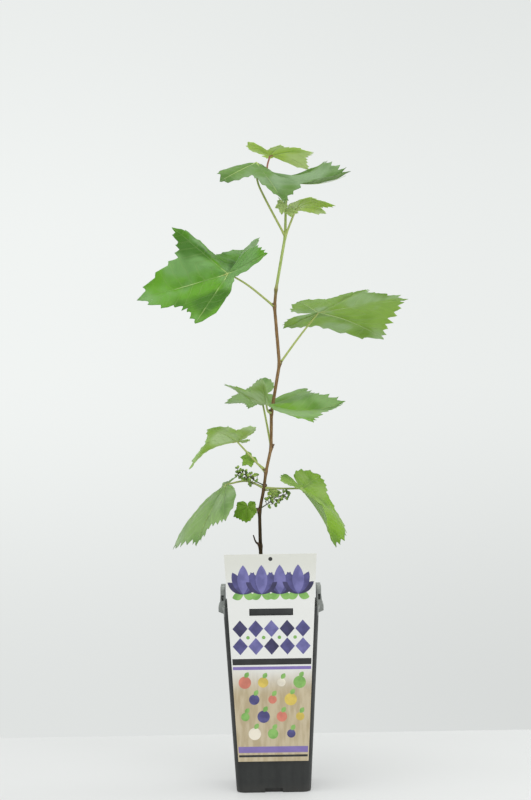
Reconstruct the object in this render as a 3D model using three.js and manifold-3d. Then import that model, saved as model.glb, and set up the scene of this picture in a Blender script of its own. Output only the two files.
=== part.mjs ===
// A young grapevine in a tall square nursery pot, in millimetres, +Z up.
// The origin is the middle of the pot's flat underside, and -Y is the side that carries the card.
import * as THREE from "three";
import { mergeVertices } from "three/addons/utils/BufferGeometryUtils.js";
import Module from "manifold-3d";

const wasm = await Module();
wasm.setup();

// ---------------------------------------------------------------- driving dimensions

const GAP = 0.35; // clearance between neighbouring pieces

const POT = {
  height: 210,
  baseHalf: 42,
  rimHalf: 54,
  corner: 9,
  wall: 1.5,
  floor: 2.5,
  footRound: 3,
  lipOut: 0.8,
  lipHeight: 3.5,
};
const FOOT_NOTCH = { width: 20, height: 5, depth: 4.5, cover: 2 };
const DRAIN = { radius: 4, offset: 21, sides: 16 };
// A lug stands on the middle of each side: a flat plate over a ledge that stands further out.
const LUG = {
  width: 47,
  low: 200.5,
  high: 230.5,
  inner: 52.3,
  lowOut: 54.4,
  ledgeLow: 202.8,
  ledgeHigh: 209,
  ledgeOut: 59.8,
  slantFoot: 58.4,
  slantTop: 222,
  outer: 57.3,
  corner: 4,
  cornerSteps: 4,
};
// A shallow pocket in each end of a lug's plate.
const POCKET = { low: 215, high: 221.5, inner: 53.6, outer: 56.4, depth: 6 };
const SOIL_TOP = 197;
// The card hangs on the front ledge, which fills its slot. It leans in towards the pot's foot.
const CARD = {
  bottom: 36,
  top: 271,
  bottomWidth: 79,
  topWidth: 103.6,
  thick: 0.8,
  lean: 4,
  outAtLedge: 58.9,
  ledgeHeight: 205,
  slotWidth: 49,
  slotLow: 201.8,
  slotHigh: 209.6,
  holeRadius: 2.3,
  holeBelowTop: 5.5,
  holeSides: 16,
};

// The vine's nodes, counted up from the soil: [x, y, z] and the radius of the stem there.
const NODES = [
  { at: [-9.5, 3, SOIL_TOP + GAP], radius: 3.4 },
  { at: [-11, 1, 275], radius: 2 },
  { at: [-11.5, -1, 315], radius: 1.9 },
  { at: [-6, 1, 342], radius: 1.75 },
  { at: [-3.5, -2, 360], radius: 1.7 },
  { at: [3, 2, 388], radius: 1.75 },
  { at: [4, -1, 428], radius: 1.85 },
  { at: [14, 1, 484], radius: 1.85 },
  { at: [9.5, -1, 550], radius: 1.8 },
  { at: [11.5, 0, 570], radius: 1.7 },
  { at: [23, 2, 631], radius: 1.6 },
  { at: [24.5, 0, 672], radius: 1.3 },
  { at: [22, 1, 684], radius: 1 },
];
const LAST_WOODY_NODE = 9; // the brown wood ends here, and the green shoot grows on from it
const NODE_SWELL = 1.3;
const NODE_LENGTH = 5;
const ROOT_FLARE = 1.25;
const STEM_SIDES = 8;
const SHOOT_GAP = 0.5; // along the stem, where the two cut ends meet at a slight tilt
const SPUR = { node: 1, to: [-19, -3, 288], radius: 1.2, tipRadius: 0.95 };

// ---------------------------------------------------------------- leaf dimensions

// Five ribs fan out from the base of a blade. Angles are from the middle rib, positive to its left.
const RIB_ANGLES = [-108, -50, 0, 50, 108];
// The margin's distance from the base by angle, as a share of the middle rib: lobes at the ribs, and bays.
const MARGIN = [
  [0, 1],
  [10, 0.86],
  [24, 0.68],
  [37, 0.72],
  [50, 0.88],
  [62, 0.7],
  [78, 0.52],
  [93, 0.6],
  [108, 0.7],
  [126, 0.56],
  [148, 0.41],
  [168, 0.23],
  [180, 0.05],
];
const LAST_EDGE_ANGLE = 172; // from here to the far side of the stalk the margin is smooth
const TOOTH_DEPTH = 0.06;
const TOOTH_LEAN = 0.62; // where the notch lies between two tips
// Where a blade's rings of points lie on the way out to its margin: a strongly curled blade has more.
const CURLED_RINGS = [0.36, 0.7, 1];
const FLAT_RINGS = [0.5, 1];
const STRONG_CURL = 30;
const LEAST_BEND = 1e-4; // in radians, below which a rib counts as straight
const BLADE_THICKNESS = 0.012; // a share of the blade's length, over a least thickness
const LEAST_THICKNESS = 0.2;
// Teeth on each half of a blade: middle rib to upper rib, on to the lower rib, and on to the stalk.
const MANY_TEETH = [4, 3, 2];
const FEW_TEETH = [2, 2, 1];
const PETIOLE_SIDES = 5;
const PETIOLE_STEPS = 3;
const PETIOLE_ROOT = 1.35;
const PETIOLE_END = 1;
const PETIOLE_UNDER_BLADE = 0.07; // how far the stalk runs on under the middle rib, as a share of its length
const SMALL_PETIOLE = 0.5; // a small leaf's stalk is this share as thick
const LEVEL = [0, 0, 0, 0, 0];
const EVEN = [1, 1, 1, 1, 1];
const EVEN_BAYS = [1, 1, 1, 1];
const USUAL_ARCHES = [5, 5, 5, 5];

// A leaf's stalk starts rise above its node and passes through via. heading is the way the middle rib points,
// anticlockwise from +X as seen from above, pitch is its rise, and roll lifts the blade's left side. slopes,
// bends, wide and fan belong to the five ribs: each rib's rise at its root, its curl up along its length, how
// far it reaches and where it points in the blade. A sixth value is for the stalk's side of the blade. arches
// and bays belong to the four bays between the ribs: how far each is lifted, and how far its margin reaches.
const LEAVES = [
  {
    name: "leaf_upper_left",
    node: 8,
    via: [[-20, -14, 574]],
    base: [-43, -16, 588],
    length: 110,
    heading: 196,
    pitch: -12,
    roll: -42,
    slopes: [-18, 26, -5, -3, 44, 55],
    arches: [-8, 6, -4, 6],
    wide: [1.1, 0.86, 1, 0.92, 0.85, 1.3],
    bays: [0.72, 0.9, 1, 0.4],
    fan: [-125, -50, 0, 46, 138],
    colour: 0x6a9a4a,
  },
  {
    name: "leaf_upper_right",
    node: 7,
    via: [[35, -3, 512]],
    base: [60, -6, 543],
    length: 104,
    heading: 2,
    pitch: 10,
    roll: -14,
    slopes: [-3, -2, 0, -5, -2],
    bends: [0, 0, -5, -25, 0],
    arches: [0, 5, 0, 8],
    wide: [1.1, 0.95, 1, 1.1, 0.72],
    bays: [0.9, 0.94, 1.2, 1],
    fan: [-108, -54, 0, 40, 144],
    colour: 0x84ac4e,
  },
  {
    name: "leaf_top",
    node: 10,
    via: [
      [0, -6, 675],
      [-8, -5, 695],
    ],
    base: [-9, -4, 716],
    length: 118,
    heading: 0,
    pitch: -43,
    roll: 14,
    slopes: [-33, 0, 0, -12, 6, -56],
    bends: [-15, -10, 72, 92, -20],
    arches: [3, 3, 4, -34],
    wide: [0.7, 0.7, 1, 0.96, 0.75],
    bays: [0.72, 0.95, 1.12, 0.5],
    fan: [-108, -36, 0, 36, 60],
    colour: 0x6d8f62,
  },
  {
    name: "leaf_topmost",
    node: 11,
    via: [
      [16, 28, 685],
      [4, 51, 712],
    ],
    base: [7, 48, 730],
    length: 58,
    heading: -20,
    pitch: 12,
    roll: -10,
    slopes: [13, 2, 1, 8, 12, 24],
    bends: [0, -15, -25, -50, 0],
    arches: [3, 3, 3, 3],
    wide: [0.98, 0.78, 0.96, 1.08, 0.5],
    bays: [0.6, 1, 1.08, 0.35],
    colour: 0x8fae5c,
  },
  {
    name: "leaf_tip_right",
    node: 10,
    via: [[33, 0, 655]],
    base: [37, 0, 663],
    length: 49,
    heading: -10,
    pitch: 28,
    roll: -20,
    slopes: [0, -2, 2, 16, 15],
    bends: [0, -30, -62, -60, 0],
    arches: [3, 3, 3, 3],
    wide: [0.5, 0.85, 1, 0.95, 0.5],
    bays: [1, 1, 0.88, 0.7],
    colour: 0x7fae4c,
  },
  {
    name: "leaf_center_front",
    node: 6,
    via: [[0, -6, 430]],
    base: [-2, -10, 438.5],
    length: 94,
    heading: 12,
    pitch: -20,
    roll: 20,
    slopes: [42, 12, 0, 0, -8],
    bends: [0, 0, 45, 25, 0],
    arches: [-12, 0, 5, -30],
    wide: [0.8, 0.9, 1, 1, 1.05],
    bays: [0.6, 1.12, 1, 0.12],
    fan: [-125, -50, 0, 50, 130],
    colour: 0x76a04f,
  },
  {
    name: "leaf_center_back",
    node: 5,
    via: [
      [-1, 22, 412],
      [-5, 40, 434],
    ],
    base: [-8, 50, 449],
    length: 44,
    heading: 185,
    pitch: -12,
    roll: -30,
    wide: [1.3, 0.7, 1, 0.8, 0.9],
    colour: 0x7d9b78,
  },
  {
    name: "leaf_mid_left",
    node: 4,
    via: [[-20, -4, 378]],
    base: [-36, -8, 396],
    length: 77,
    heading: 185,
    pitch: -4,
    roll: 52,
    slopes: [30, 75, 0, 6, -12],
    bends: [0, 0, -70, -50, 0],
    arches: [3, 3, 3, 3],
    wide: [0.4, 0.6, 1, 0.79, 0.62],
    bays: [0.7, 1, 1, 0.7],
    fan: [-150, -50, 0, 45, 132],
    colour: 0x86ab5c,
  },
  {
    name: "leaf_small_left",
    node: 4,
    rise: 3,
    via: [[-12, 2, 370]],
    base: [-21, 2, 376.5],
    length: 13.5,
    heading: 200,
    pitch: -40,
    roll: -60,
    small: true,
    colour: 0x86a86a,
  },
  {
    name: "leaf_lower_left",
    node: 3,
    via: [[-26, 2, 350]],
    base: [-49.5, 0, 346.5],
    length: 105,
    heading: 150,
    pitch: -33,
    roll: -42,
    slopes: [-25, -25, 0, 0, -5],
    bends: [0, 0, -24, -20, -20],
    wide: [0.5, 0.8, 1.05, 0.86, 0.68, 0.05],
    bays: [1, 1, 1.3, 1.25],
    fan: [-75, -45, 0, 42, 78],
    colour: 0x7c9b66,
  },
  {
    name: "leaf_heart_small",
    node: 2,
    via: [[-20, -4, 318]],
    base: [-25, -6, 321],
    length: 20,
    heading: 300,
    pitch: -76,
    roll: 30,
    wide: [0.95, 1.15, 0.95, 0.75, 0.75],
    bays: [1.15, 1.2, 1.2, 1.15],
    fan: [-118, -62, -14, 48, 115],
    small: true,
    colour: 0x6a9a26,
  },
  {
    name: "leaf_lower_right",
    node: 3,
    via: [[15, -3, 341]],
    base: [37, -6, 341],
    length: 86,
    heading: -36,
    pitch: -42,
    roll: -8,
    slopes: [0, 15, 0, 4, 4],
    bends: [0, 0, -24, -28, 6],
    wide: [0.6, 0.7, 0.96, 1.06, 1.05],
    bays: [1, 1, 1.2, 1],
    fan: [-108, -30, 0, 55, 108],
    colour: 0x77a04e,
  },
  {
    name: "leaf_small_right",
    node: 3,
    rise: -3,
    via: [[0, 5, 339]],
    base: [1, 5.5, 337.5],
    length: 14,
    heading: -8,
    pitch: -8,
    roll: 62,
    wide: [0.6, 0.8, 1, 0.6, 0.4],
    small: true,
    colour: 0x9fb83c,
  },
  {
    name: "leaf_young_hanging",
    node: 11,
    via: [[23.5, -5, 671]],
    base: [21, -9, 668.5],
    length: 15,
    heading: 250,
    pitch: -70,
    roll: -15,
    wide: [0.7, 0.85, 1, 0.65, 0.4],
    small: true,
    colour: 0xa9bf2e,
  },
  {
    name: "leaf_young_spread",
    node: 11,
    rise: -10,
    via: [[25.5, -6, 661]],
    base: [26, -10, 659],
    length: 13,
    heading: -10,
    pitch: -12,
    roll: 50,
    wide: [0.7, 0.95, 1, 0.7, 0.5],
    small: true,
    colour: 0xaec064,
  },
  {
    name: "leaf_young_upright",
    node: 11,
    rise: -6,
    via: [[21.5, 4, 667]],
    base: [20, 5.5, 669],
    length: 9,
    heading: 180,
    pitch: 60,
    roll: 0,
    small: true,
    colour: 0xb3c44a,
  },
];

// ---------------------------------------------------------------- flower bud dimensions

// A cluster is a branching stalk with round green buds. Its side stalks turn round it, longest at its foot.
const CLUSTERS = [
  {
    name: "flower_cluster_left",
    node: 3,
    rise: 3,
    path: [
      [-15, -7, 350],
      [-25, -10, 357],
      [-36, -10, 361],
    ],
    sideStalks: 9,
  },
  {
    name: "flower_cluster_right",
    node: 2,
    rise: 3,
    path: [
      [-2, -6, 324],
      [7, -8, 331],
      [22, -9, 335.5],
    ],
    sideStalks: 8,
  },
];
const CLUSTER = {
  stalkRadius: 0.7,
  sideRadius: 0.4,
  sides: 4,
  steps: 9,
  bare: 0.3, // side stalks stand from this share of the stalk
  full: 0.95, // to this one
  lean: 0.5, // how far a side stalk leans along the stalk, as a share of its length
  longest: 7,
  shortest: 4,
  turn: 137.5,
  budsEach: 2,
  budRadius: 1.6,
  budSpread: 1.9,
};

// ---------------------------------------------------------------- solids

function solidOf(geometry) {
  const bare = geometry.clone();
  bare.deleteAttribute("normal");
  bare.deleteAttribute("uv");
  const merged = mergeVertices(bare, 1e-4);
  return new wasm.Manifold(
    new wasm.Mesh({
      numProp: 3,
      vertProperties: new Float32Array(merged.attributes.position.array),
      triVerts: new Uint32Array(merged.index.array),
    }),
  );
}

function geometryOf(solid) {
  const mesh = solid.getMesh();
  const geometry = new THREE.BufferGeometry();
  geometry.setAttribute("position", new THREE.BufferAttribute(new Float32Array(mesh.vertProperties), 3));
  geometry.setIndex(new THREE.BufferAttribute(new Uint32Array(mesh.triVerts), 1));
  geometry.computeVertexNormals();
  return geometry;
}

function piece(name, solid, colour, roughness) {
  const material = new THREE.MeshStandardMaterial({ color: colour, roughness, metalness: 0 });
  const mesh = new THREE.Mesh(geometryOf(solid), material);
  mesh.name = name;
  return mesh;
}

function box(low, high) {
  const size = high.map((value, axis) => value - low[axis]);
  const middle = high.map((value, axis) => (value + low[axis]) / 2);
  return solidOf(new THREE.BoxGeometry(...size).translate(...middle));
}

function turned(solid, degrees) {
  return solid.rotate([0, 0, degrees]);
}

function joined(solids) {
  return solids.reduce((whole, solid) => whole.add(solid));
}

// The largest body of a solid that a cut may have left in several.
function withoutScraps(solid) {
  return solid.decompose().reduce((kept, body) => (body.volume() > kept.volume() ? body : kept));
}

function trianglesOf(points, triangles) {
  const geometry = new THREE.BufferGeometry().setFromPoints(points);
  geometry.setIndex(triangles);
  return geometry;
}

function middleOf(points) {
  return points.reduce((sum, point) => sum.add(point), new THREE.Vector3()).divideScalar(points.length);
}

// A closed skin through rings of equally many points, which run anticlockwise as seen from the last ring.
function skin(rings) {
  const count = rings[0].length;
  const last = rings.length - 1;
  const points = [...rings.flat(), middleOf(rings[0]), middleOf(rings[last])];
  const triangles = [];
  for (let i = 0; i < count; i += 1) {
    const next = (i + 1) % count;
    for (let ring = 0; ring < last; ring += 1) {
      const low = ring * count;
      const high = low + count;
      triangles.push(low + i, low + next, high + next, low + i, high + next, high + i);
    }
    triangles.push(points.length - 2, next, i);
    triangles.push(points.length - 1, last * count + i, last * count + next);
  }
  return solidOf(trianglesOf(points, triangles));
}

// A round limb through stations of a place and a radius, each ring square to the way the limb runs there.
function limb(stations, sides) {
  const side = new THREE.Vector3(0, 1, 0);
  const rings = stations.map(({ at, radius }, i) => {
    const before = stations[Math.max(i - 1, 0)].at;
    const after = stations[Math.min(i + 1, stations.length - 1)].at;
    const along = after.clone().sub(before).normalize();
    side.addScaledVector(along, -side.dot(along)).normalize();
    const across = along.clone().cross(side);
    return Array.from({ length: sides }, (_, k) => {
      const angle = (2 * Math.PI * k) / sides;
      const point = at.clone().addScaledVector(side, radius * Math.cos(angle));
      return point.addScaledVector(across, radius * Math.sin(angle));
    });
  });
  return skin(rings);
}

// ---------------------------------------------------------------- pot

function squareRing(half, corner, z) {
  const steps = 4;
  const ring = [];
  for (let quarter = 0; quarter < 4; quarter += 1) {
    for (let step = 0; step <= steps; step += 1) {
      const angle = ((quarter + step / steps) * Math.PI) / 2;
      const middle = ((quarter + 0.5) * Math.PI) / 2;
      const x = (half - corner) * Math.SQRT2 * Math.cos(middle) + corner * Math.cos(angle);
      const y = (half - corner) * Math.SQRT2 * Math.sin(middle) + corner * Math.sin(angle);
      ring.push(new THREE.Vector3(x, y, z));
    }
  }
  return ring;
}

function potHalfAt(z) {
  return POT.baseHalf + ((POT.rimHalf - POT.baseHalf) * z) / POT.height;
}

// The inside of the pot, drawn in from the wall's inner face by inset.
function potInside(low, high, inset) {
  const from = POT.wall + inset;
  return skin([low, high].map((z) => squareRing(potHalfAt(z) - from, POT.corner - from, z)));
}

// The foot's notch on the front side, or with a margin all round, the cover behind it.
function footNotch(margin) {
  const out = potHalfAt(FOOT_NOTCH.height) + 1;
  const reach = potHalfAt(0) - FOOT_NOTCH.depth - margin;
  const halfWidth = FOOT_NOTCH.width / 2 + margin;
  return box([-halfWidth, -out, -1], [halfWidth, -reach, FOOT_NOTCH.height + margin]);
}

function onFourSides(solid) {
  return joined([0, 90, 180, 270].map((degrees) => turned(solid, degrees)));
}

// The front lug: its side profile drawn out along the width, with its upper corners rounded.
function lug() {
  const profile = new THREE.Shape();
  profile.moveTo(LUG.inner, LUG.low);
  profile.lineTo(LUG.lowOut, LUG.low);
  profile.lineTo(LUG.ledgeOut, LUG.ledgeLow);
  profile.lineTo(LUG.ledgeOut, LUG.ledgeHigh);
  profile.lineTo(LUG.slantFoot, LUG.ledgeHigh);
  profile.lineTo(LUG.outer, LUG.slantTop);
  profile.lineTo(LUG.outer, LUG.high);
  profile.lineTo(LUG.inner, LUG.high);
  const halfWidth = LUG.width / 2;
  const bar = new THREE.ExtrudeGeometry(profile, { depth: LUG.width, bevelEnabled: false });
  bar.translate(0, 0, -halfWidth);
  const outward = new THREE.Vector3(0, -1, 0);
  const up = new THREE.Vector3(0, 0, 1);
  bar.applyMatrix4(new THREE.Matrix4().makeBasis(outward, up, outward.clone().cross(up)));

  const face = new THREE.Shape();
  const cornerX = halfWidth - LUG.corner;
  const cornerZ = LUG.high - LUG.corner;
  face.moveTo(-halfWidth, LUG.low - 1);
  face.lineTo(halfWidth, LUG.low - 1);
  face.absarc(cornerX, cornerZ, LUG.corner, 0, Math.PI / 2);
  face.absarc(-cornerX, cornerZ, LUG.corner, Math.PI / 2, Math.PI);
  const outline = new THREE.ExtrudeGeometry(face, {
    depth: LUG.ledgeOut + 1,
    bevelEnabled: false,
    curveSegments: LUG.cornerSteps,
  });
  const across = new THREE.Vector3(1, 0, 0);
  outline.applyMatrix4(new THREE.Matrix4().makeBasis(across, up, outward));

  const pockets = [-1, 1].map((end) => {
    const near = end * (halfWidth - POCKET.depth);
    const far = end * (halfWidth + 1);
    const low = [Math.min(near, far), -POCKET.outer, POCKET.low];
    const high = [Math.max(near, far), -POCKET.inner, POCKET.high];
    return box(low, high);
  });
  return solidOf(bar).intersect(solidOf(outline)).subtract(joined(pockets));
}

function pot() {
  const lipFoot = POT.height - POT.lipHeight;
  const sections = [
    [0, potHalfAt(0) - POT.footRound / 2],
    [POT.footRound, potHalfAt(POT.footRound)],
    [lipFoot, potHalfAt(lipFoot)],
    [lipFoot + POT.lipOut, potHalfAt(lipFoot) + POT.lipOut],
    [POT.height, POT.rimHalf + POT.lipOut],
  ];
  const outside = skin(sections.map(([z, half]) => squareRing(half, POT.corner, z)));
  const inside = potInside(POT.floor, POT.height + 1, 0);
  const covers = onFourSides(footNotch(FOOT_NOTCH.cover)).intersect(outside);
  const notches = onFourSides(footNotch(0));
  const drainShape = new THREE.CylinderGeometry(DRAIN.radius, DRAIN.radius, 3 * POT.floor, DRAIN.sides);
  const drain = solidOf(drainShape.rotateX(Math.PI / 2).translate(DRAIN.offset, DRAIN.offset, 0));
  const shell = outside.subtract(inside).add(covers).add(onFourSides(lug()));
  return shell.subtract(notches).subtract(onFourSides(drain));
}

function soil() {
  const filled = potInside(POT.floor + GAP, SOIL_TOP, GAP);
  return filled.subtract(onFourSides(footNotch(FOOT_NOTCH.cover + GAP)));
}

// ---------------------------------------------------------------- card

function card() {
  const halfTop = CARD.topWidth / 2;
  const halfBottom = CARD.bottomWidth / 2;
  const shape = new THREE.Shape();
  shape.moveTo(-halfBottom, CARD.bottom);
  shape.lineTo(halfBottom, CARD.bottom);
  shape.lineTo(halfTop, CARD.top);
  shape.lineTo(-halfTop, CARD.top);
  const halfSlot = CARD.slotWidth / 2;
  const slot = new THREE.Path();
  slot.moveTo(-halfSlot, CARD.slotLow);
  slot.lineTo(-halfSlot, CARD.slotHigh);
  slot.lineTo(halfSlot, CARD.slotHigh);
  slot.lineTo(halfSlot, CARD.slotLow);
  const hole = new THREE.Path();
  hole.absarc(0, CARD.top - CARD.holeBelowTop, CARD.holeRadius, 0, 2 * Math.PI, true);
  shape.holes.push(slot, hole);
  const sheet = new THREE.ExtrudeGeometry(shape, {
    depth: CARD.thick,
    bevelEnabled: false,
    curveSegments: CARD.holeSides,
  });
  // Stood up facing -Y, then leaned about the ledge so that its foot comes nearer the pot.
  sheet.translate(0, -CARD.ledgeHeight, -CARD.thick / 2);
  sheet.rotateX(Math.PI / 2 + THREE.MathUtils.degToRad(CARD.lean));
  sheet.translate(0, -CARD.outAtLedge, CARD.ledgeHeight);
  return solidOf(sheet);
}

// ---------------------------------------------------------------- stem

const nodes = NODES.map(({ at, radius }) => ({ at: new THREE.Vector3(...at), radius }));

// Stations along the stem from one node to another, thickened at each node by its swelling.
function stemStations(first, last) {
  const stations = [];
  for (let i = first; i <= last; i += 1) {
    const { at, radius } = nodes[i];
    const toward = (other) => {
      const span = nodes[other].at.clone().sub(at);
      const share = NODE_LENGTH / span.length();
      const thickness = radius + (nodes[other].radius - radius) * share;
      return { at: at.clone().addScaledVector(span, share), radius: thickness };
    };
    if (i > first) {
      stations.push(toward(i - 1));
    }
    const ends = i === 0 ? ROOT_FLARE : NODE_SWELL;
    stations.push({ at: at.clone(), radius: radius * ends });
    if (i < last) {
      stations.push(toward(i + 1));
    }
  }
  return stations;
}

function spurStations() {
  const { at } = nodes[SPUR.node];
  const tip = new THREE.Vector3(...SPUR.to);
  return [
    { at: at.clone(), radius: SPUR.radius },
    { at: tip, radius: SPUR.tipRadius },
  ];
}

// The shoot starts a gap above the wood's end, on the same line.
function shootStations() {
  const stations = stemStations(LAST_WOODY_NODE, nodes.length - 1);
  const along = stations[1].at.clone().sub(stations[0].at).normalize();
  stations[0].at.addScaledVector(along, SHOOT_GAP);
  return stations;
}

function thicker(stations, extra) {
  return stations.map(({ at, radius }) => ({ at, radius: radius + extra }));
}

const woodyStations = stemStations(0, LAST_WOODY_NODE);
const stemClearance = joined([
  limb(thicker(woodyStations, GAP), STEM_SIDES),
  limb(thicker(spurStations(), GAP), PETIOLE_SIDES),
  limb(thicker(stemStations(LAST_WOODY_NODE, nodes.length - 1), GAP), STEM_SIDES),
]);

function woodyStem() {
  return limb(woodyStations, STEM_SIDES).add(limb(spurStations(), PETIOLE_SIDES));
}

function greenShoot() {
  return limb(shootStations(), STEM_SIDES);
}

// ---------------------------------------------------------------- leaves

const radians = THREE.MathUtils.degToRad;

// The value of a table of [position, value] rows at a position.
function along(table, position) {
  const next = Math.max(1, table.findIndex(([place]) => position <= place));
  const [fromPlace, fromValue] = table[next - 1];
  const [toPlace, toValue] = table[next];
  return fromValue + ((toValue - fromValue) * (position - fromPlace)) / (toPlace - fromPlace);
}

// The two ribs on either side of an angle, counting the stalk's side as a rib at 180, and the place between.
function betweenRibs(angle) {
  const ribs = [-180, ...RIB_ANGLES, 180];
  const next = Math.max(1, ribs.findIndex((rib) => angle <= rib));
  return { from: next - 1, share: (angle - ribs[next - 1]) / (ribs[next] - ribs[next - 1]) };
}

// A value given for each rib, eased over the angles between them. Unless a sixth value says otherwise, the
// stalk's side has the mean of the two outer ribs.
function ribValue(values, angle) {
  const ribs = values.slice(0, 5);
  const behind = values[5] ?? (ribs[0] + ribs[4]) / 2;
  const all = [behind, ...ribs, behind];
  const { from, share } = betweenRibs(angle);
  return all[from] + (all[from + 1] - all[from]) * share * share * (3 - 2 * share);
}

// Where an angle of the flat leaf points in this leaf's own fan of ribs.
function fanAngle(fan, angle) {
  const ends = (fan[0] + fan[4]) / 2;
  const all = [ends - 180, ...fan, ends + 180];
  const { from, share } = betweenRibs(angle);
  return all[from] + (all[from + 1] - all[from]) * share;
}

function bladeAxes(leaf) {
  const heading = radians(leaf.heading);
  const pitch = radians(leaf.pitch);
  const roll = radians(leaf.roll);
  const forward = new THREE.Vector3(
    Math.cos(heading) * Math.cos(pitch),
    Math.sin(heading) * Math.cos(pitch),
    Math.sin(pitch),
  );
  const level = new THREE.Vector3(-Math.sin(heading), Math.cos(heading), 0);
  const up = forward.clone().cross(level);
  const left = level.clone().multiplyScalar(Math.cos(roll)).addScaledVector(up, Math.sin(roll));
  const above = up.multiplyScalar(Math.cos(roll)).addScaledVector(level, -Math.sin(roll));
  return { forward, left, above };
}

// A point of the blade: an angle from the middle rib, and a share of the way out to the margin there.
function bladePoint(leaf, axes, angle, share) {
  const { slopes = LEVEL, bends = LEVEL, wide = EVEN, fan = RIB_ANGLES } = leaf;
  const { bays = EVEN_BAYS, arches = USUAL_ARCHES } = leaf;
  const { from, share: across } = betweenRibs(angle);
  const between = Math.sin(Math.PI * across) ** 2;
  const widened = 1 + ([1, ...bays, 1][from] - 1) * between;
  const lifted = [0, ...arches, 0][from] * between;
  const reach = along(MARGIN, Math.abs(angle)) * widened * leaf.length * ribValue(wide, angle) * share;
  const slope = radians(ribValue(slopes, angle) + lifted);
  const bend = radians(ribValue(bends, angle)) * share;
  let run = reach * Math.cos(slope);
  let rise = reach * Math.sin(slope);
  if (Math.abs(bend) > LEAST_BEND) {
    run = (reach * (Math.sin(slope + bend) - Math.sin(slope))) / bend;
    rise = (reach * (Math.cos(slope) - Math.cos(slope + bend))) / bend;
  }
  const pointing = radians(fanAngle(fan, angle));
  return new THREE.Vector3(...leaf.base)
    .addScaledVector(axes.forward, run * Math.cos(pointing))
    .addScaledVector(axes.left, run * Math.sin(pointing))
    .addScaledVector(axes.above, rise);
}

// The angles of tooth tips and notches once round the blade, each with its share of the margin's reach.
function edgeOf(teeth) {
  const spans = [0, 50, 108, LAST_EDGE_ANGLE];
  const half = [];
  teeth.forEach((count, span) => {
    const width = spans[span + 1] - spans[span];
    for (let tooth = 0; tooth < count; tooth += 1) {
      half.push([spans[span] + (width * tooth) / count, tooth === 0 ? 1 : 1 + TOOTH_DEPTH]);
      half.push([spans[span] + (width * (tooth + TOOTH_LEAN)) / count, 1 - TOOTH_DEPTH]);
    }
  });
  half.push([LAST_EDGE_ANGLE, 1]);
  const mirrored = half
    .slice(1)
    .map(([angle, share]) => [-angle, share])
    .reverse();
  return [[-180, 1], ...mirrored, ...half];
}

function blade(leaf) {
  const axes = bladeAxes(leaf);
  const edge = edgeOf(leaf.small ? FEW_TEETH : MANY_TEETH);
  const curl = Math.max(...(leaf.bends ?? LEVEL).map(Math.abs));
  const rings = curl > STRONG_CURL ? CURLED_RINGS : FLAT_RINGS;
  const count = edge.length;
  const points = [new THREE.Vector3(...leaf.base)];
  rings.forEach((ring) => {
    edge.forEach(([angle, tooth]) => {
      const toothed = ring * (1 + (tooth - 1) * ring ** 3);
      points.push(bladePoint(leaf, axes, angle, toothed));
    });
  });
  const upper = [];
  for (let i = 0; i < count; i += 1) {
    const next = (i + 1) % count;
    upper.push(0, 1 + i, 1 + next);
    for (let ring = 1; ring < rings.length; ring += 1) {
      const near = 1 + (ring - 1) * count;
      const far = near + count;
      upper.push(near + i, far + i, far + next, near + i, far + next, near + next);
    }
  }
  const middle = trianglesOf(points, upper);
  middle.computeVertexNormals();
  const half = (leaf.length * BLADE_THICKNESS + LEAST_THICKNESS) / 2;
  const normal = new THREE.Vector3();
  const shifted = (side) =>
    points.map((point, i) => {
      normal.fromBufferAttribute(middle.attributes.normal, i);
      return point.clone().addScaledVector(normal, side * half);
    });
  const triangles = [...upper];
  for (let i = 0; i < upper.length; i += 3) {
    triangles.push(upper[i] + points.length, upper[i + 2] + points.length, upper[i + 1] + points.length);
  }
  const margin = 1 + (rings.length - 1) * count;
  for (let i = 0; i < count; i += 1) {
    const a = margin + i;
    const b = margin + ((i + 1) % count);
    triangles.push(b, a, a + points.length, b, a + points.length, b + points.length);
  }
  return solidOf(trianglesOf([...shifted(1), ...shifted(-1)], triangles));
}

function placeAbove(node, rise = 0) {
  return nodes[node].at.clone().add(new THREE.Vector3(0, 0, rise));
}

// Stations on a smooth curve through places, narrowing from one radius to another.
function curveStations(places, fromRadius, toRadius, steps) {
  const curve = new THREE.CatmullRomCurve3(places, false, "catmullrom", 0.5);
  return Array.from({ length: steps + 1 }, (_, i) => ({
    at: curve.getPoint(i / steps),
    radius: fromRadius + ((toRadius - fromRadius) * i) / steps,
  }));
}

function petiole(leaf) {
  const via = leaf.via.map((place) => new THREE.Vector3(...place));
  const base = new THREE.Vector3(...leaf.base);
  const places = [placeAbove(leaf.node, leaf.rise), ...via, base];
  const slim = leaf.small ? SMALL_PETIOLE : 1;
  const end = PETIOLE_END * slim;
  const stations = curveStations(places, PETIOLE_ROOT * slim, end, PETIOLE_STEPS * (places.length - 1));
  const axes = bladeAxes(leaf);
  const under = bladePoint(leaf, axes, 0, PETIOLE_UNDER_BLADE).addScaledVector(axes.above, -end / 2);
  stations.push({ at: under, radius: end / 2 });
  return limb(stations, PETIOLE_SIDES);
}

function leafPiece(leaf) {
  const whole = blade(leaf).add(petiole(leaf)).subtract(stemClearance);
  return piece(leaf.name, withoutScraps(whole), leaf.colour, 0.55);
}

// ---------------------------------------------------------------- flower clusters

function bud(at) {
  return solidOf(new THREE.OctahedronGeometry(CLUSTER.budRadius).translate(at.x, at.y, at.z));
}

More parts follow.
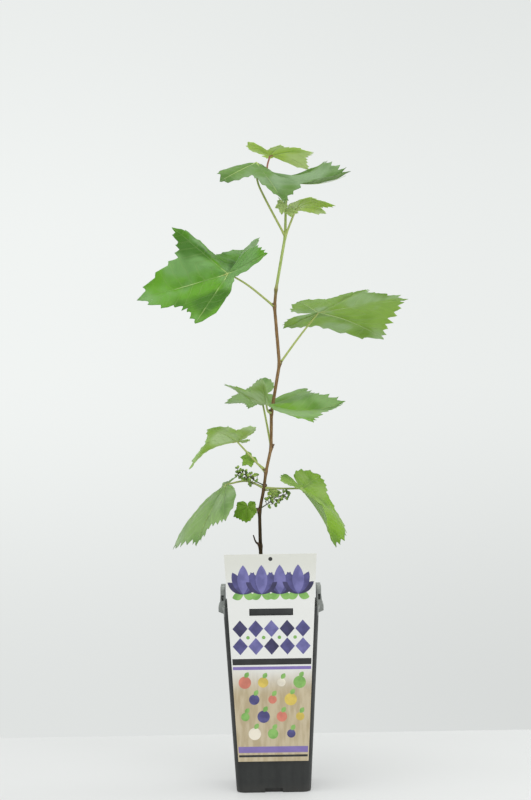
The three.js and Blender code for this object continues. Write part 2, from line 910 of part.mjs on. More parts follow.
function clusterPiece(cluster) {
  const path = cluster.path.map((place) => new THREE.Vector3(...place));
  const places = [placeAbove(cluster.node, cluster.rise), ...path];
  const curve = new THREE.CatmullRomCurve3(places, false, "catmullrom", 0.5);
  const stalk = curveStations(places, CLUSTER.stalkRadius, CLUSTER.sideRadius, CLUSTER.steps);
  const solids = [limb(stalk, CLUSTER.sides), bud(places[places.length - 1])];
  for (let i = 0; i < cluster.sideStalks; i += 1) {
    const share = i / (cluster.sideStalks - 1);
    const place = CLUSTER.bare + (CLUSTER.full - CLUSTER.bare) * share;
    const foot = curve.getPoint(place);
    const tangent = curve.getTangent(place);
    const out = new THREE.Vector3(0, 0, 1).addScaledVector(tangent, -tangent.z).normalize();
    out.applyAxisAngle(tangent, radians(CLUSTER.turn * i));
    const length = CLUSTER.longest + (CLUSTER.shortest - CLUSTER.longest) * share;
    const end = foot.clone().addScaledVector(out, length).addScaledVector(tangent, length * CLUSTER.lean);
    solids.push(limb(curveStations([foot, end], CLUSTER.sideRadius, CLUSTER.sideRadius, 1), 3));
    for (let k = 0; k < CLUSTER.budsEach; k += 1) {
      const around = out.clone().applyAxisAngle(tangent, radians(CLUSTER.turn * (k + 1)));
      solids.push(bud(end.clone().addScaledVector(around, k === 0 ? 0 : CLUSTER.budSpread)));
    }
  }
  return piece(cluster.name, withoutScraps(joined(solids).subtract(stemClearance)), 0x8aa83c, 0.6);
}

// ---------------------------------------------------------------- assembly

const grapevine = new THREE.Group();
grapevine.add(piece("pot", pot(), 0x3a3b3a, 0.6));
grapevine.add(piece("soil", soil(), 0x4a3526, 1));
grapevine.add(piece("label_card", card(), 0xece8e2, 0.4));
grapevine.add(piece("woody_stem", woodyStem(), 0x7a4f38, 0.8));
grapevine.add(piece("green_shoot", greenShoot(), 0x8aa050, 0.6));
LEAVES.forEach((leaf) => grapevine.add(leafPiece(leaf)));
CLUSTERS.forEach((cluster) => grapevine.add(clusterPiece(cluster)));

export default grapevine;
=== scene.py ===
"""A young grapevine in a tall square nursery pot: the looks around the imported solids.

Sizes are in millimetres, as in the part's source, and metres() turns them into Blender's units.
"""
import math
import random
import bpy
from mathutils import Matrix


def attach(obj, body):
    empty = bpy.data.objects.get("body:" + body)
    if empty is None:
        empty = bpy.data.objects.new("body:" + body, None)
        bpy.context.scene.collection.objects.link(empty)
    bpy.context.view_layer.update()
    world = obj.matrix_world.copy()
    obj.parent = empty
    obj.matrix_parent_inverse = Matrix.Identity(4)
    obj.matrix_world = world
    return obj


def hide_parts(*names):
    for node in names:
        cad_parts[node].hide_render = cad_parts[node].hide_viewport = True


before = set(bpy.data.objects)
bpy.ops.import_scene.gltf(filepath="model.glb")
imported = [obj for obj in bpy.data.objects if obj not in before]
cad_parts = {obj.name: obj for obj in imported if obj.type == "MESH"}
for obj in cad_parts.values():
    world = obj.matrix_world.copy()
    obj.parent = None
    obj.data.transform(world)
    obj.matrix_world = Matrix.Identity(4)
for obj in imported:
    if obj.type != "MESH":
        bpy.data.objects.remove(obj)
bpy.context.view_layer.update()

from types import SimpleNamespace as Sizes

import bpy
from mathutils import Matrix, Vector, noise

MM = 0.001
MM_PER_METRE = 1000

# ---------------------------------------------------------------- the pot, soil and card

POT = Sizes(height=210, base_half=42, rim_half=54, corner=9, wall=1.5, floor=2.5, foot_round=3, lip_out=0.8,
            lip_height=3.5, edge=0.45)
RIM_OUT = POT.rim_half + POT.lip_out
FOOT_NOTCH = Sizes(width=20, height=5, depth=4.5, cover=2)
DRAIN = Sizes(radius=4, offset=21, sides=32)
LUG = Sizes(width=47, low=200.5, high=230.5, inner=52.3, low_out=54.4, ledge_low=202.8, ledge_high=209,
            ledge_out=59.8, slant_foot=58.4, slant_top=222, outer=57.3, corner=4, corner_steps=8)
POCKET = Sizes(low=215, high=221.5, inner=53.6, outer=56.4, depth=6)
WALL_CUTS = (40, 90, 140, 180)  # heights at which the wall's mesh is divided
SOIL_TOP = 197
# How far the compost's surface lies below its top at the edge and in the middle, and how it is divided there.
SOIL = Sizes(edge=1.2, middle=0.8, rings=26, notch_margin=2.4)
GAP = 0.35  # clearance between neighbouring solids

CARD = Sizes(bottom=36, top=271, bottom_width=79, top_width=103.6, thick=0.8, edge=0.1, lean=4,
             out_at_ledge=58.9, ledge_height=205, slot_width=49, slot_low=201.8, slot_high=209.6,
             hole_radius=2.3, hole_below_top=5.5, web_margin=0.6)
INK_STEP = 0.012  # how far each layer of print stands over the one before
# The black disc behind the hang hole is painted shade, set a little off the sheet's back.
HOLE_SHADE_GAP = 0.03
HOLE_SHADE_LAYER = -(CARD.thick + HOLE_SHADE_GAP) / INK_STEP - 1  # just behind the sheet
# The card's print, from the top: fans of petals, a lattice of diamonds, and rows of berries between stripes.
FAN = Sizes(count=4, foot=226, spacing=20.5, petal=33, leaf=13)
PETAL_LEANS = (-52, 52, -26, 26, 0)
LATTICE = Sizes(count=5, rows=(187, 167), spacing=17.6, half_width=8.5, half_height=9.7, dot=2)
STRIPES = (("ink_black", 146, 153), ("ink_mauve", 140.5, 144), ("ink_mauve", 46, 53), ("ink_black", 41, 43.5))
STRIPE_INSET = 1.2  # from the card's sides
BERRY = Sizes(rows=4, count=4, top_row=126, row_step=19.5, spacing=20.5, radius=7, leaf=7.5)
INKS = {
    "ink_violet_deep": ((0.045, 0.04, 0.12), (0.025, 0.022, 0.07)),
    "ink_violet": ((0.09, 0.085, 0.25), (0.055, 0.05, 0.16)),
    "ink_lilac": ((0.17, 0.16, 0.39), (0.11, 0.105, 0.28)),
    "ink_mauve": ((0.21, 0.155, 0.41), (0.19, 0.14, 0.38)),
    "ink_black": ((0.012, 0.012, 0.012), (0.02, 0.02, 0.02)),
    "ink_green": ((0.24, 0.46, 0.12), (0.15, 0.34, 0.07)),
    "ink_coral": ((0.62, 0.2, 0.14), (0.4836, 0.156, 0.1092)),
    "ink_yellow": ((0.66, 0.5, 0.1), (0.5148, 0.39, 0.078)),
    "ink_cream": ((0.78, 0.72, 0.6), (0.6084, 0.5616, 0.468)),
}

# The crumbs on the compost: how many, the range of their sizes, how far they are drawn out, and two colours.
CRUMBS = [
    ("soil_crumbs_dark", 420, (0.4, 1.5), 1.0, (0.035, 0.02, 0.014), (0.09, 0.055, 0.035)),
    ("soil_crumbs_bark", 130, (0.9, 2.2), 1.9, (0.13, 0.075, 0.045), (0.06, 0.035, 0.022)),
    ("soil_grit", 60, (0.5, 1.3), 1.0, (0.7, 0.68, 0.62), (0.5, 0.47, 0.42)),
]
STEM_CLEARING = 7  # no crumbs lie this near the stem
CRUMB_SEED = 11

# ---------------------------------------------------------------- the vine

# The vine's nodes, counted up from the soil: place, and the radius of the stem there.
NODES = [
    ((-9.5, 3, SOIL_TOP + GAP), 3.4),
    ((-11, 1, 275), 2),
    ((-11.5, -1, 315), 1.9),
    ((-6, 1, 342), 1.75),
    ((-3.5, -2, 360), 1.7),
    ((3, 2, 388), 1.75),
    ((4, -1, 428), 1.85),
    ((14, 1, 484), 1.85),
    ((9.5, -1, 550), 1.8),
    ((11.5, 0, 570), 1.7),
    ((23, 2, 631), 1.6),
    ((24.5, 0, 672), 1.3),
    ((22, 1, 684), 1),
]
LAST_WOODY_NODE = 9  # the brown wood ends here, and the green shoot grows on from it
STATION_STEP = 1.1  # between the stem's rings
NODE_SWELL = 0.32  # the share by which the stem is thicker at a node
NODE_LENGTH = 3.2  # how far that reaches along the stem
ROOT_FLARE = 0.22  # the same for its foot
FLARE_LENGTH = 3
BEND_EASING = 0.35  # how far a bend at a node is drawn in
STRIP_DEPTH = 0.34  # of the bark's long strips
GRAIN_DEPTH = 0.09  # and of the grain over them
SPUR_ROUGHNESS = 0.16
SHOOT_RIDGES = Sizes(count=7, depth=0.07, twist=0.02, roughness=0.04)
SPUR = Sizes(node=1, to=(-19, -3, 288), radius=1.2, tip_radius=0.7, sag=(-1.2, 0, -1.5), steps=20)
# A bud over each node and the scale under it: height over the node, how far out in radii of the stem, radius
# and length.
BUD = Sizes(height=2.4, out=1.05, radius=1.55, length=1.7)
SCALE = Sizes(height=0.6, out=1.15, radius=1.3, length=0.8)
# The side of the stem that the bud at each node is on.
BUD_SIDES = {1: (-1, -0.3), 2: (-0.8, -0.5), 3: (0.9, -0.4), 4: (-0.9, -0.3), 5: (0.95, -0.3),
             6: (-0.7, -0.7), 7: (0.9, -0.3), 8: (-0.8, -0.6)}

RIB_ANGLES = [-108, -50, 0, 50, 108]
# The margin's distance from the base by angle, as a share of the middle rib: lobes at the ribs, and bays.
MARGIN = [(0, 1), (10, 0.86), (24, 0.68), (37, 0.72), (50, 0.88), (62, 0.7), (78, 0.52), (93, 0.6),
          (108, 0.7), (126, 0.56), (148, 0.41), (168, 0.23), (180, 0.05)]
LAST_EDGE_ANGLE = 172
TOOTH_DEPTH = 0.04
TOOTH_LEAN = 0.62  # a tooth's notch lies this far along it
TOOTH_STEPS = (0, 0.14, 0.3, 0.46, TOOTH_LEAN, 0.8)
TEETH = (7, 7, 5)  # between the middle rib, the side rib, the low rib and the stalk
FEW_TEETH = (4, 4, 2)
RINGS = 30
FEW_RINGS = 12
LEAF_HALF_THICKNESS = 0.17
# The blade's relief, in shares of its length: quilting between veins, grooves along ribs, and two waves.
RELIEF = Sizes(quilt=0.0075, rib=0.009, wave=0.022, ripple=0.012)
SIDE_VEIN_SPACING = 0.115
SIDE_VEIN_LEAN = 0.75
# A rib's radius and its sink beneath the blade are shares of the leaf's length too. small is the factor for a
# small leaf's. The blade's slope there is taken from places some degrees aside and a little ahead.
RIB = Sizes(radius=0.0058, small=1.3, taper=0.82, end=0.94, sink=0.011, steps=21, aside=2, ahead=0.02)
# A leaf's stalk: its radius at either end, the factor for a small leaf's, and its swelling near the stem.
PETIOLE = Sizes(root=1.35, end=1, small=0.5, flare=0.35, flare_at=2, flare_length=3, steps=14)

# What a leaf has where its row below says nothing else.
USUAL_LEAF = dict(rise=0, slopes=(0, 0, 0, 0, 0), bends=(0, 0, 0, 0, 0), arches=(5, 5, 5, 5),
                  wide=(1, 1, 1, 1, 1), bays=(1, 1, 1, 1), fan=RIB_ANGLES, small=False, red_stalk=False)

# A leaf's stalk starts rise above its node and passes through via. heading is the way the middle rib
# points, pitch is its rise, and roll lifts the blade's left side. slopes, bends, wide and fan belong to the
# five ribs: each rib's rise at its root, its curl up along its length, how far it reaches and where it
# points. A sixth value is for the stalk's side of the blade. arches and bays belong to the four bays between
# the ribs: how far each is lifted, and how far its margin reaches.
LEAVES = [
    dict(name="upper_left", node=8, via=[(-20, -14, 574)], base=(-43, -16, 588), length=110, heading=196,
         pitch=-12, roll=-42, slopes=(-18, 26, -5, -3, 44, 55), arches=(-8, 6, -4, 6),
         wide=(1.1, 0.86, 1, 0.92, 0.85, 1.3), bays=(0.72, 0.9, 1, 0.4), fan=(-125, -50, 0, 46, 138),
         look="deep"),
    dict(name="upper_right", node=7, via=[(35, -3, 512)], base=(60, -6, 543), length=104, heading=2,
         pitch=10, roll=-14, slopes=(-3, -2, 0, -5, -2), bends=(0, 0, -5, -25, 0), arches=(0, 5, 0, 8),
         wide=(1.1, 0.95, 1, 1.1, 0.72), bays=(0.9, 0.94, 1.2, 1), fan=(-108, -54, 0, 40, 144),
         look="ripe"),
    dict(name="top", node=10, via=[(0, -6, 675), (-8, -5, 695)], base=(-9, -4, 716), length=118, heading=0,
         pitch=-43, roll=14, slopes=(-33, 0, 0, -12, 6, -56), bends=(-15, -10, 72, 92, -20),
         arches=(3, 3, 4, -34), wide=(0.7, 0.7, 1, 0.96, 0.75), bays=(0.72, 0.95, 1.12, 0.5),
         fan=(-108, -36, 0, 36, 60), look="dark"),
    dict(name="topmost", node=11, via=[(16, 28, 685), (4, 51, 712)], base=(7, 48, 730), length=58,
         heading=-20, pitch=12, roll=-10, slopes=(13, 2, 1, 8, 12, 24), bends=(0, -15, -25, -50, 0),
         arches=(3, 3, 3, 3), wide=(0.98, 0.78, 0.96, 1.08, 0.5), bays=(0.6, 1, 1.08, 0.35), look="young",
         red_stalk=True),
    dict(name="tip_right", node=10, via=[(33, 0, 655)], base=(37, 0, 663), length=49, heading=-10, pitch=28,
         roll=-20, slopes=(0, -2, 2, 16, 15), bends=(0, -30, -62, -60, 0), arches=(3, 3, 3, 3),
         wide=(0.5, 0.85, 1, 0.95, 0.5), bays=(1, 1, 0.88, 0.7), look="young"),
    dict(name="center_front", node=6, via=[(0, -6, 430)], base=(-2, -10, 438.5), length=94, heading=12,
         pitch=-20, roll=20, slopes=(42, 12, 0, 0, -8), bends=(0, 0, 45, 25, 0), arches=(-12, 0, 5, -30),
         wide=(0.8, 0.9, 1, 1, 1.05), bays=(0.6, 1.12, 1, 0.12), fan=(-125, -50, 0, 50, 130), look="bright"),
    dict(name="center_back", node=5, via=[(-1, 22, 412), (-5, 40, 434)], base=(-8, 50, 449), length=44,
         heading=185, pitch=-12, roll=-30, wide=(1.3, 0.7, 1, 0.8, 0.9), look="dull"),
    dict(name="mid_left", node=4, via=[(-20, -4, 378)], base=(-36, -8, 396), length=77, heading=185,
         pitch=-4, roll=52, slopes=(30, 75, 0, 6, -12), bends=(0, 0, -70, -50, 0), arches=(3, 3, 3, 3),
         wide=(0.4, 0.6, 1, 0.79, 0.62), bays=(0.7, 1, 1, 0.7), fan=(-150, -50, 0, 45, 132), look="light"),
    dict(name="small_left", node=4, rise=3, via=[(-12, 2, 370)], base=(-21, 2, 376.5), length=13.5,
         heading=200, pitch=-40, roll=-60, small=True, look="light"),
    dict(name="lower_left", node=3, via=[(-26, 2, 350)], base=(-49.5, 0, 346.5), length=105, heading=150,
         pitch=-33, roll=-42, slopes=(-25, -25, 0, 0, -5), bends=(0, 0, -24, -20, -20),
         wide=(0.5, 0.8, 1.05, 0.86, 0.68, 0.05), bays=(1, 1, 1.3, 1.25), fan=(-75, -45, 0, 42, 78),
         look="dull"),
    dict(name="heart_small", node=2, via=[(-20, -4, 318)], base=(-25, -6, 321), length=20, heading=300,
         pitch=-76, roll=30, wide=(0.95, 1.15, 0.95, 0.75, 0.75), bays=(1.15, 1.2, 1.2, 1.15),
         fan=(-118, -62, -14, 48, 115), small=True, look="fresh"),
    dict(name="lower_right", node=3, via=[(15, -3, 341)], base=(37, -6, 341), length=86, heading=-36,
         pitch=-42, roll=-8, slopes=(0, 15, 0, 4, 4), bends=(0, 0, -24, -28, 6),
         wide=(0.6, 0.7, 0.96, 1.06, 1.05), bays=(1, 1, 1.2, 1), fan=(-108, -30, 0, 55, 108), look="fresh"),
    dict(name="small_right", node=3, rise=-3, via=[(0, 5, 339)], base=(1, 5.5, 337.5), length=14, heading=-8,
         pitch=-8, roll=62, wide=(0.6, 0.8, 1, 0.6, 0.4), small=True, look="young"),
    dict(name="young_hanging", node=11, via=[(23.5, -5, 671)], base=(21, -9, 668.5), length=15, heading=250,
         pitch=-70, roll=-15, wide=(0.7, 0.85, 1, 0.65, 0.4), small=True, look="young"),
    dict(name="young_spread", node=11, rise=-10, via=[(25.5, -6, 661)], base=(26, -10, 659), length=13,
         heading=-10, pitch=-12, roll=50, wide=(0.7, 0.95, 1, 0.7, 0.5), small=True, look="young"),
    dict(name="young_upright", node=11, rise=-6, via=[(21.5, 4, 667)], base=(20, 5.5, 669), length=9,
         heading=180, pitch=60, roll=0, small=True, look="young"),
]

# For each look: the part's slot, then a pale green as painted sheen, a fresh and a deep green above and
# beneath, the veins' colour, and the colour of the light that the leaf lets through.
LEAF_COLOURS = {
    "dark": ("leaf_dark",
             ((0.3, 0.44, 0.24), (0.18, 0.33, 0.08), (0.1, 0.22, 0.03)),
             ((0.46, 0.57, 0.39), (0.35, 0.47, 0.25), (0.22, 0.34, 0.11)),
             (0.44, 0.55, 0.3), (0.33, 0.5, 0.12)),
    "dull": ("leaf_dark",
             ((0.44, 0.57, 0.34), (0.34, 0.5, 0.2), (0.2, 0.36, 0.09)),
             ((0.55, 0.7, 0.44), (0.42, 0.58, 0.26), (0.26, 0.42, 0.11)),
             (0.56, 0.68, 0.4), (0.42, 0.62, 0.14)),
    "deep": ("leaf_dark",
             ((0.24, 0.44, 0.15), (0.15, 0.36, 0.02), (0.05, 0.17, 0.004)),
             ((0.44, 0.6, 0.36), (0.34, 0.5, 0.2), (0.22, 0.38, 0.08)),
             (0.36, 0.56, 0.16), (0.26, 0.6, 0.01)),
    "bright": ("leaf_bright",
             ((0.34, 0.51, 0.24), (0.23, 0.43, 0.07), (0.14, 0.3, 0.03)),
             ((0.58, 0.72, 0.42), (0.44, 0.6, 0.17), (0.28, 0.44, 0.06)),
             (0.54, 0.68, 0.26), (0.46, 0.7, 0.05)),
    "ripe": ("leaf_bright",
             ((0.28, 0.46, 0.16), (0.19, 0.39, 0.035), (0.12, 0.28, 0.015)),
             ((0.48, 0.64, 0.33), (0.36, 0.53, 0.11), (0.24, 0.4, 0.04)),
             (0.48, 0.63, 0.2), (0.4, 0.64, 0.03)),
    "light": ("leaf_bright",
             ((0.44, 0.6, 0.3), (0.33, 0.53, 0.1), (0.2, 0.38, 0.04)),
             ((0.64, 0.77, 0.46), (0.5, 0.66, 0.19), (0.34, 0.5, 0.07)),
             (0.6, 0.72, 0.3), (0.52, 0.74, 0.06)),
    "fresh": ("leaf_bright",
             ((0.34, 0.52, 0.1), (0.25, 0.45, 0.02), (0.13, 0.28, 0.003)),
             ((0.48, 0.64, 0.3), (0.38, 0.54, 0.12), (0.24, 0.4, 0.04)),
             (0.5, 0.66, 0.16), (0.42, 0.64, 0.02)),
    "young": ("leaf_young",
             ((0.6, 0.72, 0.34), (0.5, 0.66, 0.12), (0.34, 0.5, 0.03)),
             ((0.7, 0.8, 0.46), (0.58, 0.72, 0.22), (0.42, 0.56, 0.07)),
             (0.64, 0.74, 0.3), (0.66, 0.84, 0.08)),
}

CLUSTERS = [
    Sizes(name="left", node=3, side_stalks=22, path=[(-15, -7, 350), (-25, -10, 357), (-36, -10, 361)]),
    Sizes(name="right", node=2, side_stalks=20, path=[(-2, -6, 324), (7, -8, 331), (22, -9, 335.5)]),
]
# For both clusters. The side stalks grow from the share bare to the share full of the main stalk's length,
# and each turns on by a fixed angle. knot is how far the buds stand from a side stalk's end, and first is how
# far the first of them does. A share of the buds have a dried cap by them.
CLUSTER = Sizes(rise=3, stalk_radius=0.75, side_radius=0.36, bare=0.28, full=0.97, lean=0.5, longest=7,
                shortest=4, sag=0.12, arch=0.08, turn=137.5, buds_each=5, bud_radius=1.6, knot=1.7, first=1.0,
                dried=0.2, cap_radius=0.6, cap_length=1.8, cap_scatter=1.3)
BUD_STALK_RADII = (0.22, 0.18)

# ---------------------------------------------------------------- making meshes


def metres(point):
    return Vector(point) * MM


def make_mesh(name, points, faces, materials, slots=None, flat_coords=None):
    """A mesh from points in millimetres. slots gives each face's material, flat_coords each point's UV."""
    mesh = bpy.data.meshes.new(name)
    mesh.from_pydata([metres(point) for point in points], [], faces)
    for material in materials:
        mesh.materials.append(material)
    if slots:
        mesh.polygons.foreach_set("material_index", slots)
    mesh.polygons.foreach_set("use_smooth", [True] * len(mesh.polygons))
    if flat_coords:
        layer = mesh.uv_layers.new(name="flat")
        for loop in mesh.loops:
            layer.data[loop.index].uv = flat_coords[loop.vertex_index]
    mesh.update()
    return mesh


def linked(name, data):
    """A new object in the scene."""
    made = bpy.data.objects.new(name, data)
    bpy.context.scene.collection.objects.link(made)
    return made


def sharpened(mesh, degrees):
    """Keeps the edges sharp at which faces meet by more than the angle."""
    mesh.set_sharp_from_angle(angle=math.radians(degrees))
    return mesh


def finished(made, slot, *nodes):
    """The piece rides on the one body, and stands for the CAD nodes named."""
    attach(made, "root")
    if nodes:
        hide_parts(*nodes)


def evaluated_mesh(made):
    bpy.context.view_layer.update()
    return bpy.data.meshes.new_from_object(made.evaluated_get(bpy.context.evaluated_depsgraph_get()))


def applied(made):
    """Makes the result of the object's modifiers its own mesh."""
    mesh = evaluated_mesh(made)
    made.modifiers.clear()
    made.data = mesh


def combined(made, tool, operation):
    """Joins another object to this one, or cuts it with it, and removes that one."""
    modifier = made.modifiers.new("join", "BOOLEAN")
    modifier.object = tool
    modifier.operation = operation
    modifier.solver = "EXACT"
    applied(made)
    bpy.data.objects.remove(tool)


def softened(made, width, degrees):
    """Rounds the edges at which faces meet by more than the angle."""
    modifier = made.modifiers.new("edges", "BEVEL")
    modifier.width = width * MM
    modifier.segments = 2
    modifier.limit_method = "ANGLE"
    modifier.angle_limit = math.radians(degrees)
    modifier.use_clamp_overlap = True
    applied(made)
    sharpened(made.data, degrees)


class Builder:
    """Points and faces of one piece, gathered from several shapes."""

    def __init__(self, points=(), faces=(), slots=(), coords=()):
        self.points = list(points)
        self.faces = list(faces)
        self.slots = list(slots)
        self.coords = list(coords)

    def add(self, points, faces, slot=0):
        start = len(self.points)
        self.points += points
        self.faces += [tuple(start + corner for corner in face) for face in faces]
        self.slots += [slot] * len(faces)
        self.coords += [(0, 0)] * len(points)

    def piece(self, name, materials, slot, *nodes, sharp=None):
        mesh = make_mesh(name, self.points, self.faces, materials, self.slots, self.coords)
        if sharp:
            sharpened(mesh, sharp)
        finished(linked(name, mesh), slot, *nodes)


def skin(rings):
    """Faces through rings of equally many points, with a flat cap on either end."""
    count = len(rings[0])
    points = [point for ring in rings for point in ring]
    faces = []
    for ring in range(len(rings) - 1):
        for i in range(count):
            after = (i + 1) % count
            low = ring * count
            faces.append((low + i, low + after, low + count + after, low + count + i))
    faces.append(tuple(reversed(range(count))))
    last = len(points) - count
    faces.append(tuple(range(last, last + count)))
    return points, faces


def tube(stations, sides, relief=None):
    """Rings square to a path of (place, radius). relief adds to the radius, by place and angle."""
    side = Vector((0, 1, 0))
    rings = []
    for i, (place, radius) in enumerate(stations):
        before = stations[max(i - 1, 0)][0]
        after = stations[min(i + 1, len(stations) - 1)][0]
        along = (after - before).normalized()
        side = (side - along * side.dot(along)).normalized()
        across = along.cross(side)
        ring = []
        for k in range(sides):
            angle = 2 * math.pi * k / sides
            reach = radius + (relief(place, angle) if relief else 0)
            ring.append(place + side * reach * math.cos(angle) + across * reach * math.sin(angle))
        rings.append(ring)
    return skin(rings)


def smooth_path(places, steps):
    """A Catmull-Rom curve through places, with steps pieces between each two."""
    ends = [places[0] * 2 - places[1]] + places + [places[-1] * 2 - places[-2]]
    path = []
    for a, b, c, d in zip(ends, ends[1:], ends[2:], ends[3:]):
        for step in range(steps):
            t = step / steps
            quadratic = b * 2 + (c - a) * t + (a * 2 - b * 5 + c * 4 - d) * t**2
            path.append((quadratic + (b * 3 - a - c * 3 + d) * t**3) / 2)
    return path + [places[-1]]


def tapered(path, start, end):
    """The path's stations, whose radius runs evenly from start to end."""
    return [(place, start + (end - start) * k / (len(path) - 1)) for k, place in enumerate(path)]


def egg(place, radius, length, axis, around, rows, uneven=0.0, seed=0):
    """A round body, drawn out along an axis, and made uneven by noise."""
    turn = Vector((0, 0, 1)).rotation_difference(axis.normalized())
    points = []
    for row in range(rows + 1):
        polar = math.pi * row / rows
        for k in range(around if 0 < row < rows else 1):
            azimuth = 2 * math.pi * k / around
            point = Vector((math.sin(polar) * math.cos(azimuth), math.sin(polar) * math.sin(azimuth),
                            -math.cos(polar) * length))
            swell = 1 + uneven * noise.noise(point * 1.7 + Vector((seed, seed * 0.37, 0)))
            points.append(place + turn @ (point * radius * swell))
    last = len(points) - 1
    faces = []
    for k in range(around):
        after = (k + 1) % around
        faces.append((0, 1 + after, 1 + k))
        faces.append((last, last - around + k, last - around + after))
        for row in range(rows - 2):
            low = 1 + row * around
            faces.append((low + k, low + after, low + around + after, low + around + k))
    return points, faces


# ---------------------------------------------------------------- materials


class Field:
    """A value that varies over a surface. Sums and products of fields make the nodes that work them out."""

    def __init__(self, nodes, socket):
        self.nodes = nodes
        self.socket = socket

    def __add__(self, other):
        return self.nodes.maths("ADD", self, other)

    def __sub__(self, other):
        return self.nodes.maths("SUBTRACT", self, other)

    def __mul__(self, other):
        return self.nodes.maths("MULTIPLY", self, other)

    def __truediv__(self, other):
        return self.nodes.maths("DIVIDE", self, other)

    def __abs__(self):
        return self.nodes.maths("ABSOLUTE", self)

    def part(self, axis):
        return self.nodes.fields("ShaderNodeSeparateXYZ", {0: self})[axis]

    def ramp(self, low, high, to_low=0.0, to_high=1.0):
        """Eased from to_low, where this field is low, to to_high, where it is high."""
        inputs = {"Value": self, "From Min": low, "From Max": high, "To Min": to_low, "To Max": to_high}
        return self.nodes.field("ShaderNodeMapRange", inputs, interpolation_type="SMOOTHSTEP")

    def noise(self, scale, detail=3.0, roughness=0.5):
        inputs = {"Vector": self, "Scale": scale, "Detail": detail, "Roughness": roughness}
        return self.nodes.fields("ShaderNodeTexNoise", inputs)["Fac"]


class Nodes:
    """The nodes of a material or of the world, made one call at a time."""

    def __init__(self, owner):
        owner.use_nodes = True
        self.tree = owner.node_tree

    def feed(self, socket, value):
        """Links a field to a socket, or sets the socket to a plain value."""
        if isinstance(value, Field):
            self.tree.links.new(value.socket, socket)
        else:
            socket.default_value = value

    def fields(self, kind, inputs=(), **settings):
        """The outputs that a new node has in use, by name."""
        made = self.tree.nodes.new(kind)
        for key, value in settings.items():
            setattr(made, key, value)
        for key, value in dict(inputs).items():
            self.feed(made.inputs[key], value)
        return {socket.name: Field(self, socket) for socket in made.outputs if socket.enabled}

    def field(self, kind, inputs=(), **settings):
        """The first output that a new node has in use."""
        return next(iter(self.fields(kind, inputs, **settings).values()))

    def maths(self, operation, a, b=0.0):
        return self.field("ShaderNodeMath", {0: a, 1: b}, operation=operation)

    def mix(self, share, a, b):
        """From colour a to colour b by a share."""
        a, b = (colour if isinstance(colour, Field) else (*colour, 1) for colour in (a, b))
        return self.field("ShaderNodeMix", {0: share, 6: a, 7: b}, data_type="RGBA")

    def place(self, stretch=(1, 1, 1)):
        """The object's own coordinates in millimetres, stretched along each axis."""
        coordinates = self.fields("ShaderNodeTexCoord")["Object"]
        scale = [MM_PER_METRE * share for share in stretch]
        return self.field("ShaderNodeMapping", {"Vector": coordinates, "Scale": scale})


class Shader(Nodes):
    """A material on the Principled shader. settings are more of its sockets, with _ for each space."""

    def __init__(self, name, colour, roughness, specular, **settings):
        self.material = bpy.data.materials.new(name)
        super().__init__(self.material)
        self.surface = self.tree.nodes["Principled BSDF"]
        self.use("Base Color", (*colour, 1))
        self.use("Roughness", roughness)
        self.use("Specular IOR Level", specular)
        for key, value in settings.items():
            self.use(key.replace("_", " ").title(), value)

    def use(self, socket, value):
        self.feed(self.surface.inputs[socket], value)

    def paint(self, share, a, b):
        self.use("Base Color", self.mix(share, a, b))

    def bump(self, height, depth, strength=1.0):
        """Depth in millimetres."""
        inputs = {"Height": height, "Distance": depth * MM, "Strength": strength}
        normal = self.field("ShaderNodeBump", inputs)
        self.use("Normal", normal)
        return normal


# For each kind of mottled surface: its roughness and specular level, the scale and detail of its patches and
# of its grain, and the grain's depth.
MOTTLED = {
    "stalk": ((0.42, 0.45), (0.5, 3.0), (2.2, 2.0), 0.12),
    "crumb": ((0.9, 0.2), (0.9, 4.0), (0.9, 4.0), 0.5),
    "print": ((0.32, 0.5), (0.09, 4.0), (1.2, 2.0), 0.02),
}


def mottled_material(kind, name, colour, shade):
    """A colour that runs softly into a shade of it, over a fine grain."""
    gloss, patches, grain, depth = MOTTLED[kind]
    shader = Shader(name, colour, *gloss)
    mottle = shader.place().noise(*patches).ramp(0.35, 0.65)
    shader.paint(mottle, colour, shade)
    shader.bump(shader.place().noise(*grain), depth)
    return shader.material


def vein_coordinates(shader):
    """The leaf's flat coordinates, how far out they are, and how far along and aside from the nearest rib."""
    flat = shader.field("ShaderNodeUVMap", uv_map="flat")
    x, y = flat.part("X"), flat.part("Y")
    reach = shader.maths("SQRT", x * x + y * y)
    angle = shader.maths("DEGREES", shader.maths("ARCTAN2", y, x))
    rib = RIB_ANGLES[0]
    for a, b in zip(RIB_ANGLES, RIB_ANGLES[1:]):
        past = shader.maths("GREATER_THAN", angle, (a + b) / 2)
        rib = past * (b - a) + rib
    off = shader.maths("RADIANS", angle - rib)
    return flat, reach, reach * shader.maths("COSINE", off), abs(reach * shader.maths("SINE", off))


LET_THROUGH = 0.42  # the share of a leaf's light that comes through it
VEIN_TINT = Sizes(above=0.38, beneath=0.5, through=0.35)  # how far the veins' colour covers the green
VEIN_RELIEF = Sizes(above=-0.9, beneath=0.9)


